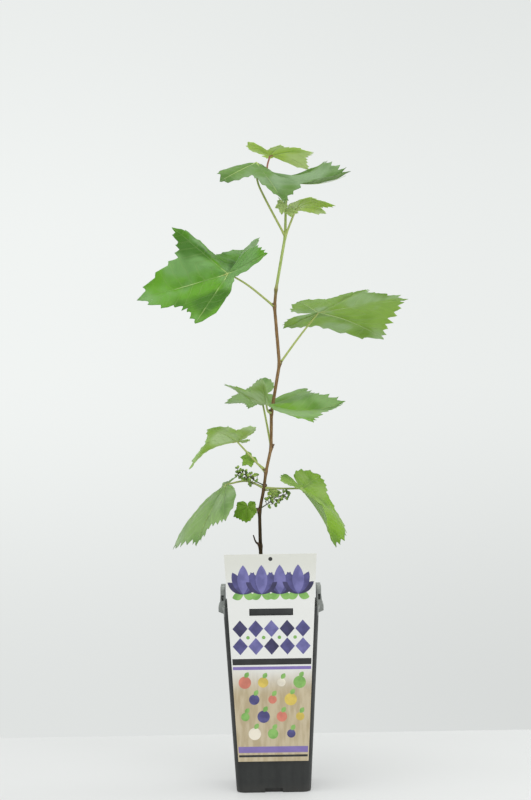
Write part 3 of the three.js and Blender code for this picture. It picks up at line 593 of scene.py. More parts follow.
def leaf_material(name, greens, vein, glow, under=False):
    """A leaf's skin: ribs, side veins and a fine net over mottled green, with light let through.

    greens are a dull pale green, a fresh one and a deep one, which lie in wide clouds. The pale clouds are
    painted sheen, as of the bright room shining off the blade, and let dull light through; glow is for the
    fresh ones.
    """
    pale, fresh, deep = greens
    shader = Shader(name, pale, 0.46, 0.32, sheen_weight=0.16, sheen_roughness=0.45)
    flat, reach, out, aside = vein_coordinates(shader)
    rib_width = reach.ramp(0.0, 1.0, 0.0065, 0.0025)
    rib = (aside / rib_width).ramp(0.6, 1.7, 1.0, 0.0)
    steps = (out - aside * SIDE_VEIN_LEAN) / SIDE_VEIN_SPACING + flat.noise(6.0) * 0.5
    fold = abs(shader.maths("FRACT", steps) - 0.5)
    side = fold.ramp(0.03, 0.085, 1.0, 0.0) * reach.ramp(0.4, 1.0, 0.75, 0.3)
    net = shader.field("ShaderNodeTexVoronoi", {"Vector": flat, "Scale": 38.0}, feature="DISTANCE_TO_EDGE")
    fine = net.ramp(0.02, 0.09, 1.0, 0.0) * 0.2
    veins = shader.maths("MAXIMUM", rib, shader.maths("MAXIMUM", side, fine))
    # Painted sheen: the pale green lies in wide clouds over the blade, where it would shine.
    painted_sheen_clouds = shader.place().noise(0.021, 2.0).ramp(0.42, 0.58)
    near_rib = (aside / shader.maths("MAXIMUM", out, 0.01)).ramp(0.03, 0.3, 0.1, 0.0)
    patch = (shader.place().noise(0.024, 1.5) + near_rib).ramp(0.5, 0.74, 0.0, 0.9)
    green = shader.mix(patch, shader.mix(painted_sheen_clouds, pale, fresh), deep)
    shader.paint(veins * (VEIN_TINT.beneath if under else VEIN_TINT.above), green, vein)
    shader.use("Roughness", flat.noise(14.0).ramp(0.3, 0.7, 0.4, 0.56))
    grain = flat.noise(150.0, 2.0) * 0.25
    relief = veins * (VEIN_RELIEF.beneath if under else VEIN_RELIEF.above)
    normal = shader.bump(relief + grain, 0.35, 0.7)
    dull = [(channel + light) / 2 for channel, light in zip(pale, glow)]
    through = shader.mix(patch, shader.mix(painted_sheen_clouds, dull, glow), [channel * 1.5 for channel in deep])
    lit = shader.mix(veins * VEIN_TINT.through, through, deep)
    back = shader.field("ShaderNodeBsdfTranslucent", {"Color": lit, "Normal": normal})
    front = Field(shader, shader.surface.outputs[0])
    both = shader.field("ShaderNodeMixShader", {0: LET_THROUGH, 1: front, 2: back})
    shader.feed(shader.tree.nodes["Material Output"].inputs["Surface"], both)
    return shader.material


def bark_material():
    """Thin bark in long strips: dark at the foot, paler and redder up the stem, and greener at its end."""
    shader = Shader("stem bark", (0.2, 0.12, 0.05), 0.72, 0.16)
    place = shader.place()
    height = place.part("Z")
    strips = shader.place((1, 1, 0.07)).noise(1.3, 5.0, 0.6)
    share = strips.ramp(0.38, 0.62)
    low = shader.mix(share, (0.016, 0.011, 0.005), (0.06, 0.038, 0.016))
    high = shader.mix(share, (0.15, 0.085, 0.036), (0.31, 0.19, 0.09))
    rising = (height + place.noise(0.08, 3.0) * 40.0).ramp(315.0, 402.0)
    greener = height.ramp(555.0, 575.0, 0.0, 0.6)
    shader.paint(greener, shader.mix(rising, low, high), (0.2, 0.24, 0.07))
    shader.bump(strips, 0.5)
    return shader.material


def shoot_material():
    """A green skin with faint streaks, which reddens towards the wood."""
    shader = Shader("shoot skin", (0.3, 0.42, 0.1), 0.42, 0.45)
    streak = shader.place((1, 1, 0.06)).noise(1.6, 4.0)
    green = shader.mix(streak.ramp(0.4, 0.62), (0.27, 0.36, 0.08), (0.42, 0.5, 0.16))
    red = shader.place().part("Z").ramp(585.0, 560.0, 0.0, 0.85)
    shader.paint(red, green, (0.26, 0.13, 0.07))
    shader.bump(streak, 0.2)
    return shader.material


def pot_material():
    """Dark moulded plastic: flow streaks, a fine grain, scuffs, lugs painted paler as rubbing and as a
    painted sheen where they face the light, and dust at the foot.
    """
    dark, light, worn = (0.009, 0.0105, 0.01), (0.0175, 0.0195, 0.0185), (0.08, 0.08, 0.075)
    shader = Shader("pot plastic", dark, 0.5, 0.5)
    place = shader.place()
    height = place.part("Z")
    flow = shader.place((1, 1, 0.05)).noise(0.12, 4.0)
    scuff = shader.place((1, 1, 0.3)).noise(0.6, 6.0, 0.7).ramp(0.6, 0.75)
    dust = height.ramp(14.0, 0.0) * place.noise(0.3, 4.0)
    across = abs(place.part("X"))
    # Painted sheen and wear: the lugs are painted paler, as rubbed plastic that faces the light.
    lug_sheen_and_wear_mask = across.ramp(RIM_OUT - 3.5, RIM_OUT - 1.5) * height.ramp(LUG.low - 2, LUG.low)
    body = shader.mix(flow.ramp(0.3, 0.7), dark, light)
    scuffed = shader.mix(scuff * 0.3, body, worn)
    with_lug_sheen_and_wear = shader.mix(lug_sheen_and_wear_mask * 0.85, scuffed, (0.27, 0.285, 0.27))
    shader.paint(dust * 0.35, with_lug_sheen_and_wear, (0.08, 0.07, 0.06))
    shader.use("Roughness", place.noise(0.15, 3.0).ramp(0.3, 0.7, 0.4, 0.58))
    shader.bump(place.noise(3.5, 3.0), 0.06)
    return shader.material


def soil_material():
    """Dark crumbly compost with paler fibres."""
    shader = Shader("compost", (0.05, 0.03, 0.02), 0.95, 0.2)
    crumb = shader.place().noise(0.55, 6.0, 0.65)
    fibre = shader.place((1, 0.15, 1)).noise(0.9, 4.0)
    dark = shader.mix(crumb.ramp(0.35, 0.65), (0.018, 0.011, 0.008), (0.085, 0.05, 0.03))
    shader.paint(fibre.ramp(0.62, 0.7, 0.0, 0.6), dark, (0.16, 0.1, 0.06))
    shader.bump(crumb, 1.6)
    return shader.material


def card_material():
    """The card's own face: off-white above, running softly into tan below, with a faint plank grain there."""
    shader = Shader("card face", (0.8, 0.78, 0.74), 0.32, 0.5)
    place = shader.place()
    height = place.part("Z")
    grain = shader.place((0.4, 1, 0.03)).noise(0.5, 4.0)
    tan = shader.mix(grain.ramp(0.35, 0.65), (0.42, 0.34, 0.21), (0.52, 0.44, 0.3))
    pale = shader.mix(height.ramp(215.0, 265.0), (0.72, 0.72, 0.7), (0.64, 0.64, 0.59))
    soft = height + place.noise(0.03, 2.0) * 18.0
    shader.paint(soft.ramp(158.0, 120.0), pale, tan)
    shader.bump(place.noise(1.2, 2.0), 0.02)
    return shader.material


# ---------------------------------------------------------------- pot


def square_ring(half, corner, z, steps=10):
    """A level square with rounded corners, half its width out from the middle."""
    ring = []
    for quarter in range(4):
        middle = (quarter + 0.5) * math.pi / 2
        for step in range(steps + 1):
            angle = (quarter + step / steps) * math.pi / 2
            out = (half - corner) * math.sqrt(2)
            ring.append(Vector((out * math.cos(middle) + corner * math.cos(angle),
                                out * math.sin(middle) + corner * math.sin(angle), z)))
    return ring


def pot_half_at(z):
    return POT.base_half + (POT.rim_half - POT.base_half) * z / POT.height


def four_sides(points, faces):
    """The shape at the front, and turned to the other three sides."""
    whole = Builder()
    for quarter in range(4):
        turn = Matrix.Rotation(quarter * math.pi / 2, 3, "Z")
        whole.add([turn @ point for point in points], faces)
    return whole.points, whole.faces


def block(low, high):
    ring = [(low[0], low[1]), (high[0], low[1]), (high[0], high[1]), (low[0], high[1])]
    return skin([[Vector((x, y, z)) for x, y in ring] for z in (low[2], high[2])])


def plain(name, shape, material):
    return linked(name, make_mesh(name, *shape, [material]))


def lug_shape(material):
    """The front lug's side profile drawn out along its width, and cut to its rounded outline."""
    half = LUG.width / 2
    profile = [(LUG.inner, LUG.low), (LUG.low_out, LUG.low), (LUG.ledge_out, LUG.ledge_low),
               (LUG.ledge_out, LUG.ledge_high), (LUG.slant_foot, LUG.ledge_high), (LUG.outer, LUG.slant_top),
               (LUG.outer, LUG.high), (LUG.inner, LUG.high)]
    bar = plain("lug", skin([[Vector((x, -out, z)) for out, z in profile] for x in (-half, half)]), material)
    outline = [(-half, LUG.low - 1), (half, LUG.low - 1)]
    for middle, start in ((half - LUG.corner, 0), (LUG.corner - half, 90)):
        for step in range(LUG.corner_steps + 1):
            angle = math.radians(start + step * 90 / LUG.corner_steps)
            outline.append((middle + LUG.corner * math.cos(angle),
                            LUG.high - LUG.corner + LUG.corner * math.sin(angle)))
    depths = (-LUG.inner + 1, -LUG.ledge_out - 1)
    shape = skin([[Vector((x, y, z)) for x, z in outline] for y in depths])
    combined(bar, plain("outline", shape, material), "INTERSECT")
    for end in (-1, 1):
        near, far = sorted((end * (half - POCKET.depth), end * (half + 1)))
        pocket = block((near, -POCKET.outer, POCKET.low), (far, -POCKET.inner, POCKET.high))
        combined(bar, plain("pocket", pocket, material), "DIFFERENCE")
    points = [vertex.co / MM for vertex in bar.data.vertices]
    faces = [tuple(polygon.vertices) for polygon in bar.data.polygons]
    bpy.data.objects.remove(bar)
    return points, faces


def foot_notch(margin, out):
    """The notch under the front side, grown by a margin. The cover over it starts within the pot's floor."""
    half = FOOT_NOTCH.width / 2 + margin
    reach = pot_half_at(0) - FOOT_NOTCH.depth - margin
    low = POT.floor / 2 if margin else -1
    return block((-half, -out, low), (half, -reach, FOOT_NOTCH.height + margin))


def make_pot():
    """The pot's rounded foot, tapering wall and lip, hollowed out, with its notches, lugs and drains."""
    material = pot_material()
    lip_foot = POT.height - POT.lip_height
    foot, lip, wall = POT.foot_round, POT.lip_out, POT.wall
    sections = [(0, pot_half_at(0) - foot * 0.5), (foot * 0.15, pot_half_at(0) - foot * 0.2),
                (foot * 0.5, pot_half_at(0) - foot * 0.03), (foot, pot_half_at(foot))]
    sections += [(z, pot_half_at(z)) for z in (*WALL_CUTS, lip_foot)]
    sections += [(lip_foot + lip * 0.4, pot_half_at(lip_foot) + lip * 0.8),
                 (lip_foot + lip, pot_half_at(lip_foot) + lip), (POT.height, RIM_OUT)]
    body = plain("pot_body", skin([square_ring(half, POT.corner, z) for z, half in sections]), material)
    inner = [(z, pot_half_at(z) - wall) for z in (POT.floor, 60, 130, POT.height + 1)]
    inside = skin([square_ring(half, POT.corner - wall, z) for z, half in inner])
    covers = foot_notch(FOOT_NOTCH.cover, pot_half_at(0) - wall / 2)
    notches = foot_notch(0, pot_half_at(FOOT_NOTCH.height) + 1)
    turns = [2 * math.pi * k / DRAIN.sides for k in range(DRAIN.sides)]
    drain = [[Vector((DRAIN.offset + DRAIN.radius * math.cos(turn),
                      DRAIN.offset + DRAIN.radius * math.sin(turn), z)) for turn in turns]
             for z in (-1, POT.floor + 1)]
    for name, shape, operation in (("inside", inside, "DIFFERENCE"),
                                   ("covers", four_sides(*covers), "UNION"),
                                   ("lugs", four_sides(*lug_shape(material)), "UNION"),
                                   ("notches", four_sides(*notches), "DIFFERENCE"),
                                   ("drains", four_sides(*skin(drain)), "DIFFERENCE")):
        combined(body, plain(name, shape, material), operation)
    softened(body, POT.edge, 40)
    finished(body, "pot_plastic", "pot")


# ---------------------------------------------------------------- soil


def soil_height(x, y):
    rough = noise.noise(Vector((x, y, 0)) * 0.06) * 1.3 + noise.noise(Vector((x, y, 5)) * 0.25) * 0.6
    return SOIL_TOP - SOIL.middle + rough


def make_soil():
    """The compost's bed, whose surface is drawn in from its edge ring by ring, and the crumbs on it."""
    wall = POT.wall + GAP
    corner = POT.corner - wall
    top = SOIL_TOP - SOIL.edge
    half = pot_half_at(top) - wall
    rings = [square_ring(pot_half_at(z) - wall, corner, z, 8) for z in (POT.floor + GAP, 60, 120, 180, top)]
    for step in range(1, SOIL.rings):
        share = 1 - step / SOIL.rings
        ring = square_ring(half * share, corner * share, 0, 8)
        rings.append([Vector((x, y, soil_height(x, y))) for x, y, _ in ring])
    material = soil_material()
    soil = plain("soil_bed", skin(rings), material)
    margin = FOOT_NOTCH.cover + GAP
    notch_half = FOOT_NOTCH.width / 2 + SOIL.notch_margin
    notches = block((-notch_half, -60, -1),
                    (notch_half, -pot_half_at(0) + FOOT_NOTCH.depth + margin, FOOT_NOTCH.height + margin))
    combined(soil, plain("notches", four_sides(*notches), material), "DIFFERENCE")
    finished(soil, "compost", "soil")
    deal = random.Random(CRUMB_SEED)
    stem = Vector(NODES[0][0])
    for name, count, sizes, length, colour, shade in CRUMBS:
        crumbs = Builder()
        while count:
            x, y = deal.uniform(-half, half) * 0.95, deal.uniform(-half, half) * 0.95
            if abs(x) + abs(y) > half * 1.75 or math.hypot(x - stem.x, y - stem.y) < STEM_CLEARING:
                continue
            size = deal.uniform(*sizes)
            axis = Vector((deal.uniform(-1, 1), deal.uniform(-1, 1), deal.uniform(-0.25, 0.25)))
            place = Vector((x, y, soil_height(x, y) + size * 0.2))
            crumbs.add(*egg(place, size, length, axis, 7, 5, 0.6, count))
            count -= 1
        crumbs.piece(name, [mottled_material("crumb", name, colour, shade)], "compost", sharp=50)


# ---------------------------------------------------------------- label card


def card_place(u, v, layer):
    """A place on the card: u across and v up, in millimetres, and a layer's height over its face."""
    lean = math.radians(90 + CARD.lean)
    turned = Matrix.Rotation(lean, 3, "X") @ Vector((u, v - CARD.ledge_height, layer))
    return turned + Vector((0, -CARD.out_at_ledge, CARD.ledge_height))


def card_half_at(v):
    share = (v - CARD.bottom) / (CARD.top - CARD.bottom)
    return (CARD.bottom_width + (CARD.top_width - CARD.bottom_width) * share) / 2


def ellipse(u, v, half_width, half_height, steps=28):
    turns = [2 * math.pi * step / steps for step in range(steps)]
    return [(u + half_width * math.cos(turn), v + half_height * math.sin(turn)) for turn in turns]


def circle(u, v, radius):
    return ellipse(u, v, radius, radius)


def leaf_outline(u, v, length, turn, fatness=0.34):
    """A pointed oval with its stalk end at u, v, drawn counter-clockwise."""
    outward = [(step / 12, -1) for step in range(12)]
    back = [(1 - step / 12, 1) for step in range(12)]
    cosine, sine = math.cos(math.radians(turn)), math.sin(math.radians(turn))
    points = []
    for t, side in outward + back:
        along, aside = t * length, side * fatness * length * math.sin(math.pi * t) ** 0.8
        points.append((u + along * cosine - aside * sine, v + along * sine + aside * cosine))
    return points


def make_card():
    """The sheet, filled between its outline, its slot and its hang hole, with softened edges."""
    curve = bpy.data.curves.new("card", "CURVE")
    curve.dimensions = "2D"
    curve.fill_mode = "BOTH"
    curve.extrude = (CARD.thick / 2 - CARD.edge) * MM
    curve.bevel_depth = CARD.edge * MM
    curve.bevel_resolution = 1
    low, high = CARD.bottom + CARD.edge, CARD.top - CARD.edge
    half_low, half_high = card_half_at(CARD.bottom) - CARD.edge, card_half_at(CARD.top) - CARD.edge
    outer = [(-half_low, low), (half_low, low), (half_high, high), (-half_high, high)]
    half_slot = CARD.slot_width / 2 + CARD.edge
    slot_low, slot_high = CARD.slot_low - CARD.edge, CARD.slot_high + CARD.edge
    slot = [(-half_slot, slot_low), (-half_slot, slot_high), (half_slot, slot_high), (half_slot, slot_low)]
    hole = circle(0, CARD.top - CARD.hole_below_top, CARD.hole_radius + CARD.edge)
    for outline in (outer, slot, hole):
        spline = curve.splines.new("POLY")
        spline.points.add(len(outline) - 1)
        spline.use_cyclic_u = True
        for point, (u, v) in zip(spline.points, outline):
            point.co = (u * MM, v * MM, 0, 1)
    flat = linked("flat_card", curve)
    mesh = evaluated_mesh(flat)
    bpy.data.objects.remove(flat)
    for vertex in mesh.vertices:
        vertex.co = metres(card_place(*(vertex.co / MM)))
    mesh.materials.clear()
    mesh.materials.append(card_material())
    mesh.update()
    finished(linked("card_sheet", sharpened(mesh, 30)), "card_sheet", "label_card")


def make_card_print():
    """A made-up pattern in bands: petal fans, a lattice of diamonds, and rows of berries between stripes."""
    names = list(INKS)
    violets = ("ink_violet_deep", "ink_violet", "ink_lilac")
    berries = ("ink_coral", "ink_green", "ink_yellow", "ink_violet", "ink_cream")
    printed = Builder()

    def draw(ink, outline, layer):
        lift = CARD.thick / 2 + INK_STEP * (layer + 1)
        places = [card_place(u, v, lift) for u, v in outline]
        printed.add(places, [tuple(range(len(places)))], names.index(ink))

    for k in range(FAN.count):
        u = (k - (FAN.count - 1) / 2) * FAN.spacing
        over = 1 + 6 * (k % 2)
        for turn in (-18, 198):
            draw("ink_green", leaf_outline(u, FAN.foot, FAN.leaf, turn), over)
        for step, lean in enumerate(PETAL_LEANS):
            length = FAN.petal * (1 - abs(lean) / 160)
            draw(violets[step // 2], leaf_outline(u, FAN.foot, length, 90 + lean, 0.2), over + 1 + step)
    for row, v in enumerate(LATTICE.rows):
        for k in range(LATTICE.count):
            u = (k - (LATTICE.count - 1) / 2) * LATTICE.spacing
            draw(violets[(k + row) % 3], ellipse(u, v, LATTICE.half_width, LATTICE.half_height, 4), 1)
            if row and k:
                draw("ink_green", circle(u - LATTICE.spacing / 2, sum(LATTICE.rows) / 2, LATTICE.dot), 2)
    for ink, low, high in STRIPES:
        corners = ((-1, low), (1, low), (1, high), (-1, high))
        draw(ink, [(side * (card_half_at(v) - STRIPE_INSET), v) for side, v in corners], 1)
    for row in range(BERRY.rows):
        v = BERRY.top_row - row * BERRY.row_step
        count = BERRY.count - row % 2
        for k in range(count):
            u = (k - (count - 1) / 2) * BERRY.spacing
            size = BERRY.radius * (1 - 0.16 * ((k + row) % 3))
            draw(berries[(2 * k + 3 * row) % 5], circle(u, v, size), 2)
            draw("ink_green", leaf_outline(u, v + size * 0.8, BERRY.leaf, 55), 3)
    # Painted shade: the hang hole is closed by a black disc at the sheet's back, so that it looks dark as a
    # shaded hole does.
    hole_shade = circle(0, CARD.top - CARD.hole_below_top, CARD.hole_radius + CARD.web_margin)
    draw("ink_black", hole_shade, HOLE_SHADE_LAYER)
    inks = [mottled_material("print", name, *INKS[name]) for name in names]
    printed.piece("card_print", inks, "card_sheet")


# ---------------------------------------------------------------- stem


def node_place(index, rise=0.0):
    return Vector(NODES[index][0]) + Vector((0, 0, rise))


def stem_stations(first, last):
    """Close stations from one node to another, with each bend eased and each node thickened."""
    places = [Vector(place) for place, _ in NODES]
    stations = []
    for i in range(first, last):
        span = places[i + 1] - places[i]
        along = span.normalized()
        count = max(2, round(span.length / STATION_STEP))
        before = (places[i] - places[i - 1]).normalized() if i else along
        after = (places[i + 2] - places[i + 1]).normalized() if i + 2 < len(places) else along
        for k in range(count + (i + 1 == last)):
            t = k / count
            place = places[i].lerp(places[i + 1], t)
            place += (before - along) * BEND_EASING * (1 - t) ** 6 + (along - after) * BEND_EASING * t**6
            radius = NODES[i][1] + (NODES[i + 1][1] - NODES[i][1]) * t
            for distance, node in ((t * span.length, i), ((1 - t) * span.length, i + 1)):
                if 0 < node < len(NODES) - 1:
                    radius *= 1 + NODE_SWELL * math.exp(-((distance / NODE_LENGTH) ** 2))
            if i == 0:
                radius *= 1 + ROOT_FLARE * math.exp(-t * span.length / FLARE_LENGTH)
            stations.append((place, radius))
    return stations


def bark_relief(place, angle):
    """Long shallow strips that run up the stem, with a finer grain over them."""
    round_place = Vector((math.cos(angle) * 1.6, math.sin(angle) * 1.6, place.z * 0.035))
    strips = abs(noise.noise(round_place * 1.4))
    grain = noise.noise(Vector((math.cos(angle) * 5, math.sin(angle) * 5, place.z * 0.3)))
    return STRIP_DEPTH * (strips - 0.25) + GRAIN_DEPTH * grain


def spur_relief(place, angle):
    return SPUR_ROUGHNESS * noise.noise(Vector((math.cos(angle), place.z, 3)))


def shoot_relief(place, angle):
    """Low ridges that wind slowly round the shoot."""
    ridges = SHOOT_RIDGES.depth * math.cos(SHOOT_RIDGES.count * angle + SHOOT_RIDGES.twist * place.z)
    return ridges + SHOOT_RIDGES.roughness * noise.noise(Vector((angle, place.z * 0.2, 0)))


def make_stem():
    """The woody stem with its spur, the buds in its axils with their scales, and the green shoot."""
    stem = Builder()
    stem.add(*tube(stem_stations(0, LAST_WOODY_NODE), 36, bark_relief))
    root, tip = node_place(SPUR.node), Vector(SPUR.to)
    path = smooth_path([root, (root + tip) / 2 + Vector(SPUR.sag), tip], SPUR.steps // 2)
    stem.add(*tube(tapered(path, SPUR.radius, SPUR.tip_radius), 12, spur_relief))
    stem.piece("stem_bark", [bark_material()], "stem_bark", "woody_stem", sharp=60)

    buds = Builder()
    for index, (x, y) in BUD_SIDES.items():
        radius = NODES[index][1]
        out = Vector((x, y, 0)).normalized()
        foot = node_place(index, BUD.height) + out * radius * BUD.out
        buds.add(*egg(foot, BUD.radius, BUD.length, out + Vector((0, 0, 0.9)), 14, 9, 0.25, index))
        foot = node_place(index, SCALE.height) + out * radius * SCALE.out
        buds.add(*egg(foot, SCALE.radius, SCALE.length, out, 12, 8, 0.35, index + 9))
    bud_skin = mottled_material("stalk", "bud scales", (0.07, 0.035, 0.022), (0.17, 0.1, 0.05))
    buds.piece("axil_buds", [bud_skin], "stem_bark", sharp=60)

    shoot = Builder()
    shoot.add(*tube(stem_stations(LAST_WOODY_NODE, len(NODES) - 1), 28, shoot_relief))
    shoot.piece("shoot_skin", [shoot_material()], "shoot_skin", "green_shoot")


# ---------------------------------------------------------------- leaves


def along_table(table, position):
    for (a, low), (b, high) in zip(table, table[1:]):
        if position <= b:
            return low + (high - low) * (position - a) / (b - a)
    return table[-1][1]


def between_ribs(angle):
    """Which two ribs an angle lies between, with the stalk's side as a rib at 180, and how far along."""
    ribs = [-180, *RIB_ANGLES, 180]
    for i in range(6):
        if angle <= ribs[i + 1]:
            return i, (angle - ribs[i]) / (ribs[i + 1] - ribs[i])
    return 5, 1.0


def rib_value(values, angle):
    """A value given for each rib, eased over the angles between them. A sixth is for the stalk's side."""
    ribs = values[:5]
    behind = values[5] if len(values) > 5 else (ribs[0] + ribs[4]) / 2
    spread = [behind, *ribs, behind]
    i, share = between_ribs(angle)
    return spread[i] + (spread[i + 1] - spread[i]) * share * share * (3 - 2 * share)


def fan_angle(fan, angle):
    """Where the blade's angle points once its ribs are fanned."""
    ends = (fan[0] + fan[4]) / 2
    spread = [ends - 180, *fan, ends + 180]
    i, share = between_ribs(angle)
    return spread[i] + (spread[i + 1] - spread[i]) * share


def blade_axes(leaf):
    """Along the middle rib, to the blade's left, and up from its upper side."""
    heading, pitch, roll = (math.radians(turn) for turn in (leaf.heading, leaf.pitch, leaf.roll))
    level_length = math.cos(pitch)
    forward = Vector((math.cos(heading) * level_length, math.sin(heading) * level_length, math.sin(pitch)))
    level = Vector((-math.sin(heading), math.cos(heading), 0))
    up = forward.cross(level)
    left = level * math.cos(roll) + up * math.sin(roll)
    above = up * math.cos(roll) - level * math.sin(roll)
    return forward, left, above


def blade_place(leaf, angle, share):
    """A point of the blade: an angle from the middle rib, and a share of the way out to the margin there."""
    span, across = between_ribs(angle)
    between = math.sin(math.pi * across) ** 2
    widened = 1 + ([1, *leaf.bays, 1][span] - 1) * between
    lifted = [0, *leaf.arches, 0][span] * between
    reach = along_table(MARGIN, abs(angle)) * leaf.length * widened * share
    reach *= rib_value(leaf.wide, angle)
    slope = math.radians(rib_value(leaf.slopes, angle) + lifted)
    bend = math.radians(rib_value(leaf.bends, angle)) * share
    if abs(bend) < 1e-4:
        run, rise = reach * math.cos(slope), reach * math.sin(slope)
    else:
        run = reach * (math.sin(slope + bend) - math.sin(slope)) / bend
        rise = reach * (math.cos(slope) - math.cos(slope + bend)) / bend
    pointing = math.radians(fan_angle(leaf.fan, angle))
    forward, left, above = leaf.axes
    foot = Vector(leaf.base) + forward * run * math.cos(pointing) + left * run * math.sin(pointing)
    return foot + above * rise


def fine_edge(teeth, deal):
    """Angles once round the blade, each with its share of the margin's reach: sharp teeth of uneven depth."""
    spans = [0, RIB_ANGLES[3], RIB_ANGLES[4], LAST_EDGE_ANGLE]
    halves = []
    for _ in range(2):
        half = []
        for low, high, count in zip(spans, spans[1:], teeth):
            width = (high - low) / count
            for tooth in range(count):
                depth = TOOTH_DEPTH * deal.uniform(0.7, 1.25)
                crest = 1 if tooth == 0 else 1 + depth
                for u in TOOTH_STEPS:
                    if u < TOOTH_LEAN:
                        fall = (u / TOOTH_LEAN) ** 0.8
                    else:
                        fall = 1 - (u - TOOTH_LEAN) / (1 - TOOTH_LEAN)
                    half.append((low + width * tooth + width * u, crest - (crest - 1 + depth) * fall))
        half.append((LAST_EDGE_ANGLE, 1))
        halves.append(half)
    mirrored = [(-angle, share) for angle, share in reversed(halves[1][1:])]
    return [(-180, 1), *mirrored, *halves[0]]


def vein_relief(angle, flat_reach):
    """The quilting of the blade, raised between the side veins, and the groove along the nearest rib."""
    nearest = min(RIB_ANGLES, key=lambda rib: abs(rib - angle))
    off = math.radians(angle - nearest)
    out, aside = flat_reach * math.cos(off), abs(flat_reach * math.sin(off))
    steps = (out - aside * SIDE_VEIN_LEAN) / SIDE_VEIN_SPACING
    bulge = abs(math.sin(math.pi * steps)) ** 0.7 - 0.5
    rib = math.exp(-((aside / 0.02) ** 2)) * (1 - 0.6 * flat_reach)
    fade = min(1, aside / 0.04) * min(1, flat_reach / 0.1)
    return bulge * fade, rib


def make_blade(leaf):
    """The blade's two skins and the rim that joins them: points, faces, slots and flat coordinates."""
    deal = random.Random(leaf.name)
    edge = fine_edge(FEW_TEETH if leaf.small else TEETH, deal)
    rings = FEW_RINGS if leaf.small else RINGS
    seed = Vector((deal.uniform(0, 50), deal.uniform(0, 50), 0))
    points, coords, relief = [Vector(leaf.base)], [(0.0, 0.0)], [0.0]
    for ring in range(1, rings + 1):
        share = (ring / rings) ** 0.9
        for angle, tooth in edge:
            toothed = share * (1 + (tooth - 1) * share**5)
            points.append(blade_place(leaf, angle, toothed))
            flat_reach = along_table(MARGIN, abs(angle)) * toothed
            x, y = flat_reach * math.cos(math.radians(angle)), flat_reach * math.sin(math.radians(angle))
            coords.append((x, y))
            bulge, rib = vein_relief(angle, flat_reach)
            wave = noise.noise(Vector((x * 3.2, y * 3.2, 0)) + seed)
            ripple = noise.noise(Vector((x * 9, y * 9, 7)) + seed) * share**2
            quilted = RELIEF.quilt * bulge - RELIEF.rib * rib
            relief.append(leaf.length * (quilted + RELIEF.wave * wave * share + RELIEF.ripple * ripple))
    count = len(edge)
    faces = []
    for i in range(count):
        after = (i + 1) % count
        faces.append((0, 1 + i, 1 + after))
        for ring in range(rings - 1):
            near = 1 + ring * count
            faces.append((near + i, near + count + i, near + count + after, near + after))
    middle = make_mesh("middle", points, faces, [])
    normals = [Vector(normal.vector) for normal in middle.vertex_normals]
    bpy.data.meshes.remove(middle)
    skins = [point + normal * (height + half) for half in (LEAF_HALF_THICKNESS, -LEAF_HALF_THICKNESS)
             for point, normal, height in zip(points, normals, relief)]
    total = len(points)
    under = [tuple(total + corner for corner in reversed(face)) for face in faces]
    margin = 1 + (rings - 1) * count
    rim = []
    for i in range(count):
        a, b = margin + i, margin + (i + 1) % count
        rim.append((b, a, a + total, b + total))
    slots = [0] * len(faces) + [1] * len(under) + [0] * len(rim)
    return skins, faces + under + rim, slots, coords + coords


def add_ribs(leaf, body):
    """Each main rib stands out under the blade as a tapering cord."""
    thick = RIB.radius * leaf.length * (RIB.small if leaf.small else 1)
    for rib in RIB_ANGLES:
        stations = []
        for step in range(RIB.steps + 1):
            share = RIB.end * step / RIB.steps
            here = blade_place(leaf, rib, share)
            right, middle, left = (blade_place(leaf, rib + turn, share + RIB.ahead)
                                   for turn in (-RIB.aside, 0, RIB.aside))
            aside, ahead = left - right, middle - here
            down = aside.cross(ahead).normalized()
            radius = thick * (1 - RIB.taper * share)
            sink = RIB.sink * leaf.length * (1 - 0.6 * share) * min(1, share * 8)
            stations.append((here + down * (sink + radius * 0.35), radius))
        body.add(*tube(stations, 8), slot=2)


def add_petiole(leaf, body):
    """The leaf's stalk, from within the stem to just under the blade."""
    start = node_place(leaf.node, leaf.rise)
    path = smooth_path([start] + [Vector(place) for place in leaf.via] + [Vector(leaf.base)], PETIOLE.steps)
    slim = PETIOLE.small if leaf.small else 1
    stations = []
    travelled = 0.0
    for k, place in enumerate(path):
        travelled += (place - path[k - 1]).length if k else 0
        radius = (PETIOLE.root + (PETIOLE.end - PETIOLE.root) * k / (len(path) - 1)) * slim
        radius *= 1 + PETIOLE.flare * math.exp(-((travelled - PETIOLE.flare_at) / PETIOLE.flare_length) ** 2)
        stations.append((place, radius))
    under = blade_place(leaf, 0, 0.07) - leaf.axes[2] * (0.6 + 0.6 * slim)
    stations.append((under, stations[-1][1] * 0.7))
    clear = NODES[leaf.node][1] * (1 + NODE_SWELL) * 0.7
    stations = [(place, radius) for place, radius in stations if (place - start).length > clear]
    foot = start + (stations[0][0] - start).normalized() * clear * 0.7
    body.add(*tube([(foot, stations[0][1])] + stations, 14), slot=3)


def make_leaves():
    """Each leaf is one piece: its blade with a skin above and one beneath, its ribs and its stalk."""
    green_stalk = mottled_material("stalk", "petiole green", (0.34, 0.42, 0.1), (0.42, 0.46, 0.16))
    red_stalk = mottled_material("stalk", "petiole red", (0.5, 0.16, 0.13), (0.42, 0.2, 0.12))
    pale_rib = mottled_material("stalk", "rib pale", (0.42, 0.56, 0.2), (0.35, 0.48, 0.14))
    skins = {}
    for look, (_, upper, under, vein, glow) in LEAF_COLOURS.items():
        skins[look] = (leaf_material("leaf %s upper" % look, upper, vein, glow),
                       leaf_material("leaf %s under" % look, under, vein, glow, True))
    for row in LEAVES:
        leaf = Sizes(**{**USUAL_LEAF, **row})
        leaf.axes = blade_axes(leaf)
        body = Builder(*make_blade(leaf))
        add_ribs(leaf, body)
        add_petiole(leaf, body)
        materials = [*skins[leaf.look], pale_rib, red_stalk if leaf.red_stalk else green_stalk]
        body.piece("leaf_skin_" + leaf.name, materials, LEAF_COLOURS[leaf.look][0], "leaf_" + leaf.name)


# ---------------------------------------------------------------- flower clusters


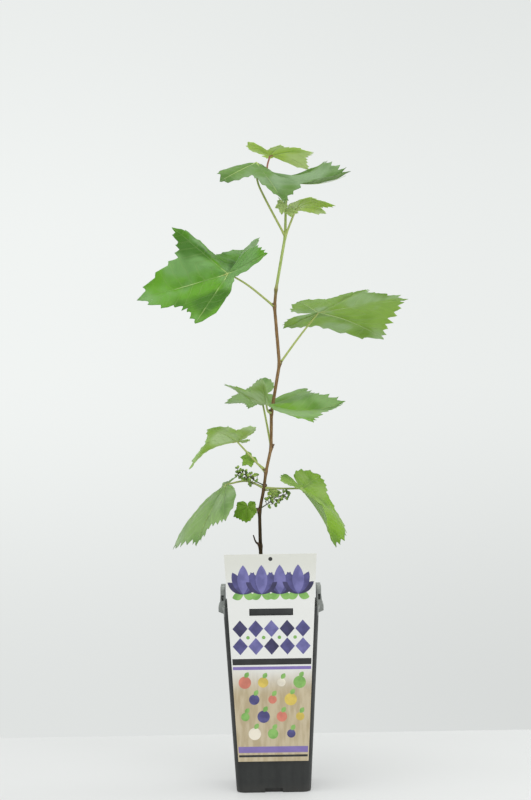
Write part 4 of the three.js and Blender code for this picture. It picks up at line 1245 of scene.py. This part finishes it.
def make_cluster(cluster, stalk_skin, bud_skins):
    """A branching stalk whose side stalks turn round it, each with a knot of round buds in small cups.

    The last of bud_skins is for the cups and for the dried caps that hang on.
    """
    deal = random.Random(cluster.name)
    places = [node_place(cluster.node, CLUSTER.rise)] + [Vector(place) for place in cluster.path]
    path = smooth_path(places, 12)
    last = len(path) - 1
    dry = len(bud_skins) - 1
    stalks, buds = Builder(), Builder()
    stalks.add(*tube(tapered(path, CLUSTER.stalk_radius, CLUSTER.side_radius * 1.2)[2:], 10))

    def bud(place, out, size):
        buds.add(*egg(place, size, 1.1, out, 12, 9, 0.08, deal.random() * 9), slot=deal.choice((0, 0, 1)))
        buds.add(*egg(place - out * size * 0.75, size * 0.55, 0.5, out, 8, 5), slot=dry)

    for i in range(cluster.side_stalks):
        share = i / (cluster.side_stalks - 1)
        where = (CLUSTER.bare + (CLUSTER.full - CLUSTER.bare) * share) * last
        here, ahead = path[int(where)], path[min(int(where) + 1, last)]
        foot = here.lerp(ahead, where % 1)
        along = (ahead - path[max(int(where) - 1, 0)]).normalized()
        out = (Vector((0, 0, 1)) - along * along.z).normalized()
        out.rotate(Matrix.Rotation(math.radians(CLUSTER.turn * i), 3, along))
        length = CLUSTER.longest + (CLUSTER.shortest - CLUSTER.longest) * share
        length *= deal.uniform(0.5, 0.95)
        end = foot + out * length + along * length * CLUSTER.lean - Vector((0, 0, length * CLUSTER.sag))
        middle = foot.lerp(end, 0.5) + Vector((0, 0, length * CLUSTER.arch))
        side = [(place, CLUSTER.side_radius) for place in smooth_path([foot, middle, end], 4)]
        stalks.add(*tube(side, 7))
        for k in range(CLUSTER.buds_each):
            spread = out.copy()
            spread.rotate(Matrix.Rotation(math.radians(CLUSTER.turn * (k + 1)), 3, along))
            spread = (out + spread * (0.9 if k else 0) + along * 0.3).normalized()
            size = CLUSTER.bud_radius * deal.uniform(0.55, 1)
            tip = end + spread * (CLUSTER.knot if k else CLUSTER.first)
            stalks.add(*tube(list(zip((end - out * 0.4, tip), BUD_STALK_RADII)), 6))
            bud(tip + spread * size * 0.7, spread, size)
            if deal.random() < CLUSTER.dried:
                off = Vector((deal.uniform(-1, 1), deal.uniform(-1, 1), deal.uniform(-1.6, 0.4)))
                cap = end + off * CLUSTER.cap_scatter
                axis = Vector((deal.uniform(-1, 1), 0.3, -1))
                buds.add(*egg(cap, CLUSTER.cap_radius, CLUSTER.cap_length, axis, 7, 6, 0.5, k), slot=dry)
    onward = (path[-1] - path[-2]).normalized()
    bud(path[-1] + onward, onward, CLUSTER.bud_radius)
    stalks.piece("bud_stalks_" + cluster.name, [stalk_skin], "flower_buds", "flower_cluster_" + cluster.name)
    buds.piece("flower_buds_" + cluster.name, bud_skins, "flower_buds")


def make_clusters():
    stalk_skin = mottled_material("stalk", "cluster stalk", (0.08, 0.115, 0.022), (0.045, 0.055, 0.014))
    bud_skins = [mottled_material("stalk", "flower bud", (0.1, 0.2, 0.02), (0.18, 0.29, 0.04)),
                 mottled_material("stalk", "flower bud pale", (0.32, 0.44, 0.08), (0.22, 0.34, 0.05)),
                 mottled_material("stalk", "bud cup", (0.05, 0.07, 0.02), (0.08, 0.05, 0.02))]
    for cluster in CLUSTERS:
        make_cluster(cluster, stalk_skin, bud_skins)


# ---------------------------------------------------------------- stage, light and camera

BENCH = Sizes(half_width=2500, front=-2600, back=340)
BENCH_PAINTED_GLOW = 0.28  # painted light: the bench glows by itself, which lightens the shadows on it
WALL_COLOUR = (0.973, 1.0, 0.985, 1)
WALL_LEVEL = 0.905
# How the pale wall darkens with direction: the axis, where the loss starts and ends, and how much is lost.
WALL_FALLOFF = [("X", -0.14, 0.16, 0.055), ("Z", 0.07, 0.24, 0.06), ("Z", 0.02, -0.16, 0.14),
                ("Z", -0.2, -0.4, -0.14), ("Z", 0.3, 0.5, -0.06)]
# For each lamp: its place, where it aims, its width and its power.
LAMPS = {
    "key": ((-350, -800, 2200), (0, 0, 450), 1800, 20),
    "fill": ((1100, -1700, 900), (0, 0, 300), 1500, 9),
    "side": ((1400, 250, 450), (120, 100, 0), 900, 5),
}
CAMERA = Sizes(place=(-2.6, -2200, 443), roll=0.9, frame_height=36, lens_over_frame=2.39125)


def make_bench():
    """A pale bench with its back edge behind the pot, which glows a little by itself as painted light that
    lightens its shadows.
    """
    shader = Shader("bench", (0.41, 0.416, 0.413), 0.6, 0.3,
                    emission_color=(1, 1, 1, 1), emission_strength=BENCH_PAINTED_GLOW)
    cloud = shader.place().noise(0.004, 3.0)
    shader.paint(cloud, (0.395, 0.401, 0.398), (0.425, 0.431, 0.428))
    half = BENCH.half_width
    places = ((-half, BENCH.front, 0), (half, BENCH.front, 0), (half, BENCH.back, 0), (-half, BENCH.back, 0))
    plain("bench", (places, [(0, 1, 2, 3)]), shader.material)


def make_wall():
    """The room round the bench: pale, and a little darker outwards."""
    world = bpy.data.worlds.new("pale room")
    bpy.context.scene.world = world
    nodes = Nodes(world)
    direction = nodes.fields("ShaderNodeTexCoord")["Generated"]
    level = WALL_LEVEL
    for axis, start, stop, loss in WALL_FALLOFF:
        less = direction.part(axis).ramp(start, stop, 0.0, loss)
        level = nodes.maths("SUBTRACT", level, less)
    background = nodes.tree.nodes["Background"]
    nodes.feed(background.inputs["Color"], WALL_COLOUR)
    nodes.feed(background.inputs["Strength"], level)


def make_lamps():
    for name, (place, aim, width, power) in LAMPS.items():
        lamp = bpy.data.lights.new(name, "AREA")
        lamp.shape = "DISK"
        lamp.size = width * MM
        lamp.energy = power
        made = linked(name, lamp)
        made.location = metres(place)
        made.rotation_euler = (Vector(place) - Vector(aim)).to_track_quat("Z", "Y").to_euler()


def make_camera():
    """Level with the middle of the vine, far off, and turned by under a degree as it was held."""
    lens = bpy.data.cameras.new("camera")
    lens.sensor_fit = "VERTICAL"
    lens.sensor_height = CAMERA.frame_height
    lens.lens = CAMERA.frame_height * CAMERA.lens_over_frame
    camera = linked("camera", lens)
    turn = Matrix.Rotation(math.radians(CAMERA.roll), 4, "Y") @ Matrix.Rotation(math.radians(90), 4, "X")
    camera.matrix_world = Matrix.Translation(metres(CAMERA.place)) @ turn
    bpy.context.scene.camera = camera


make_camera()
make_bench()
make_wall()
make_lamps()
make_pot()
make_soil()
make_card()
make_card_print()
make_stem()
make_leaves()
make_clusters()
bpy.context.scene.view_settings.view_transform = "Standard"
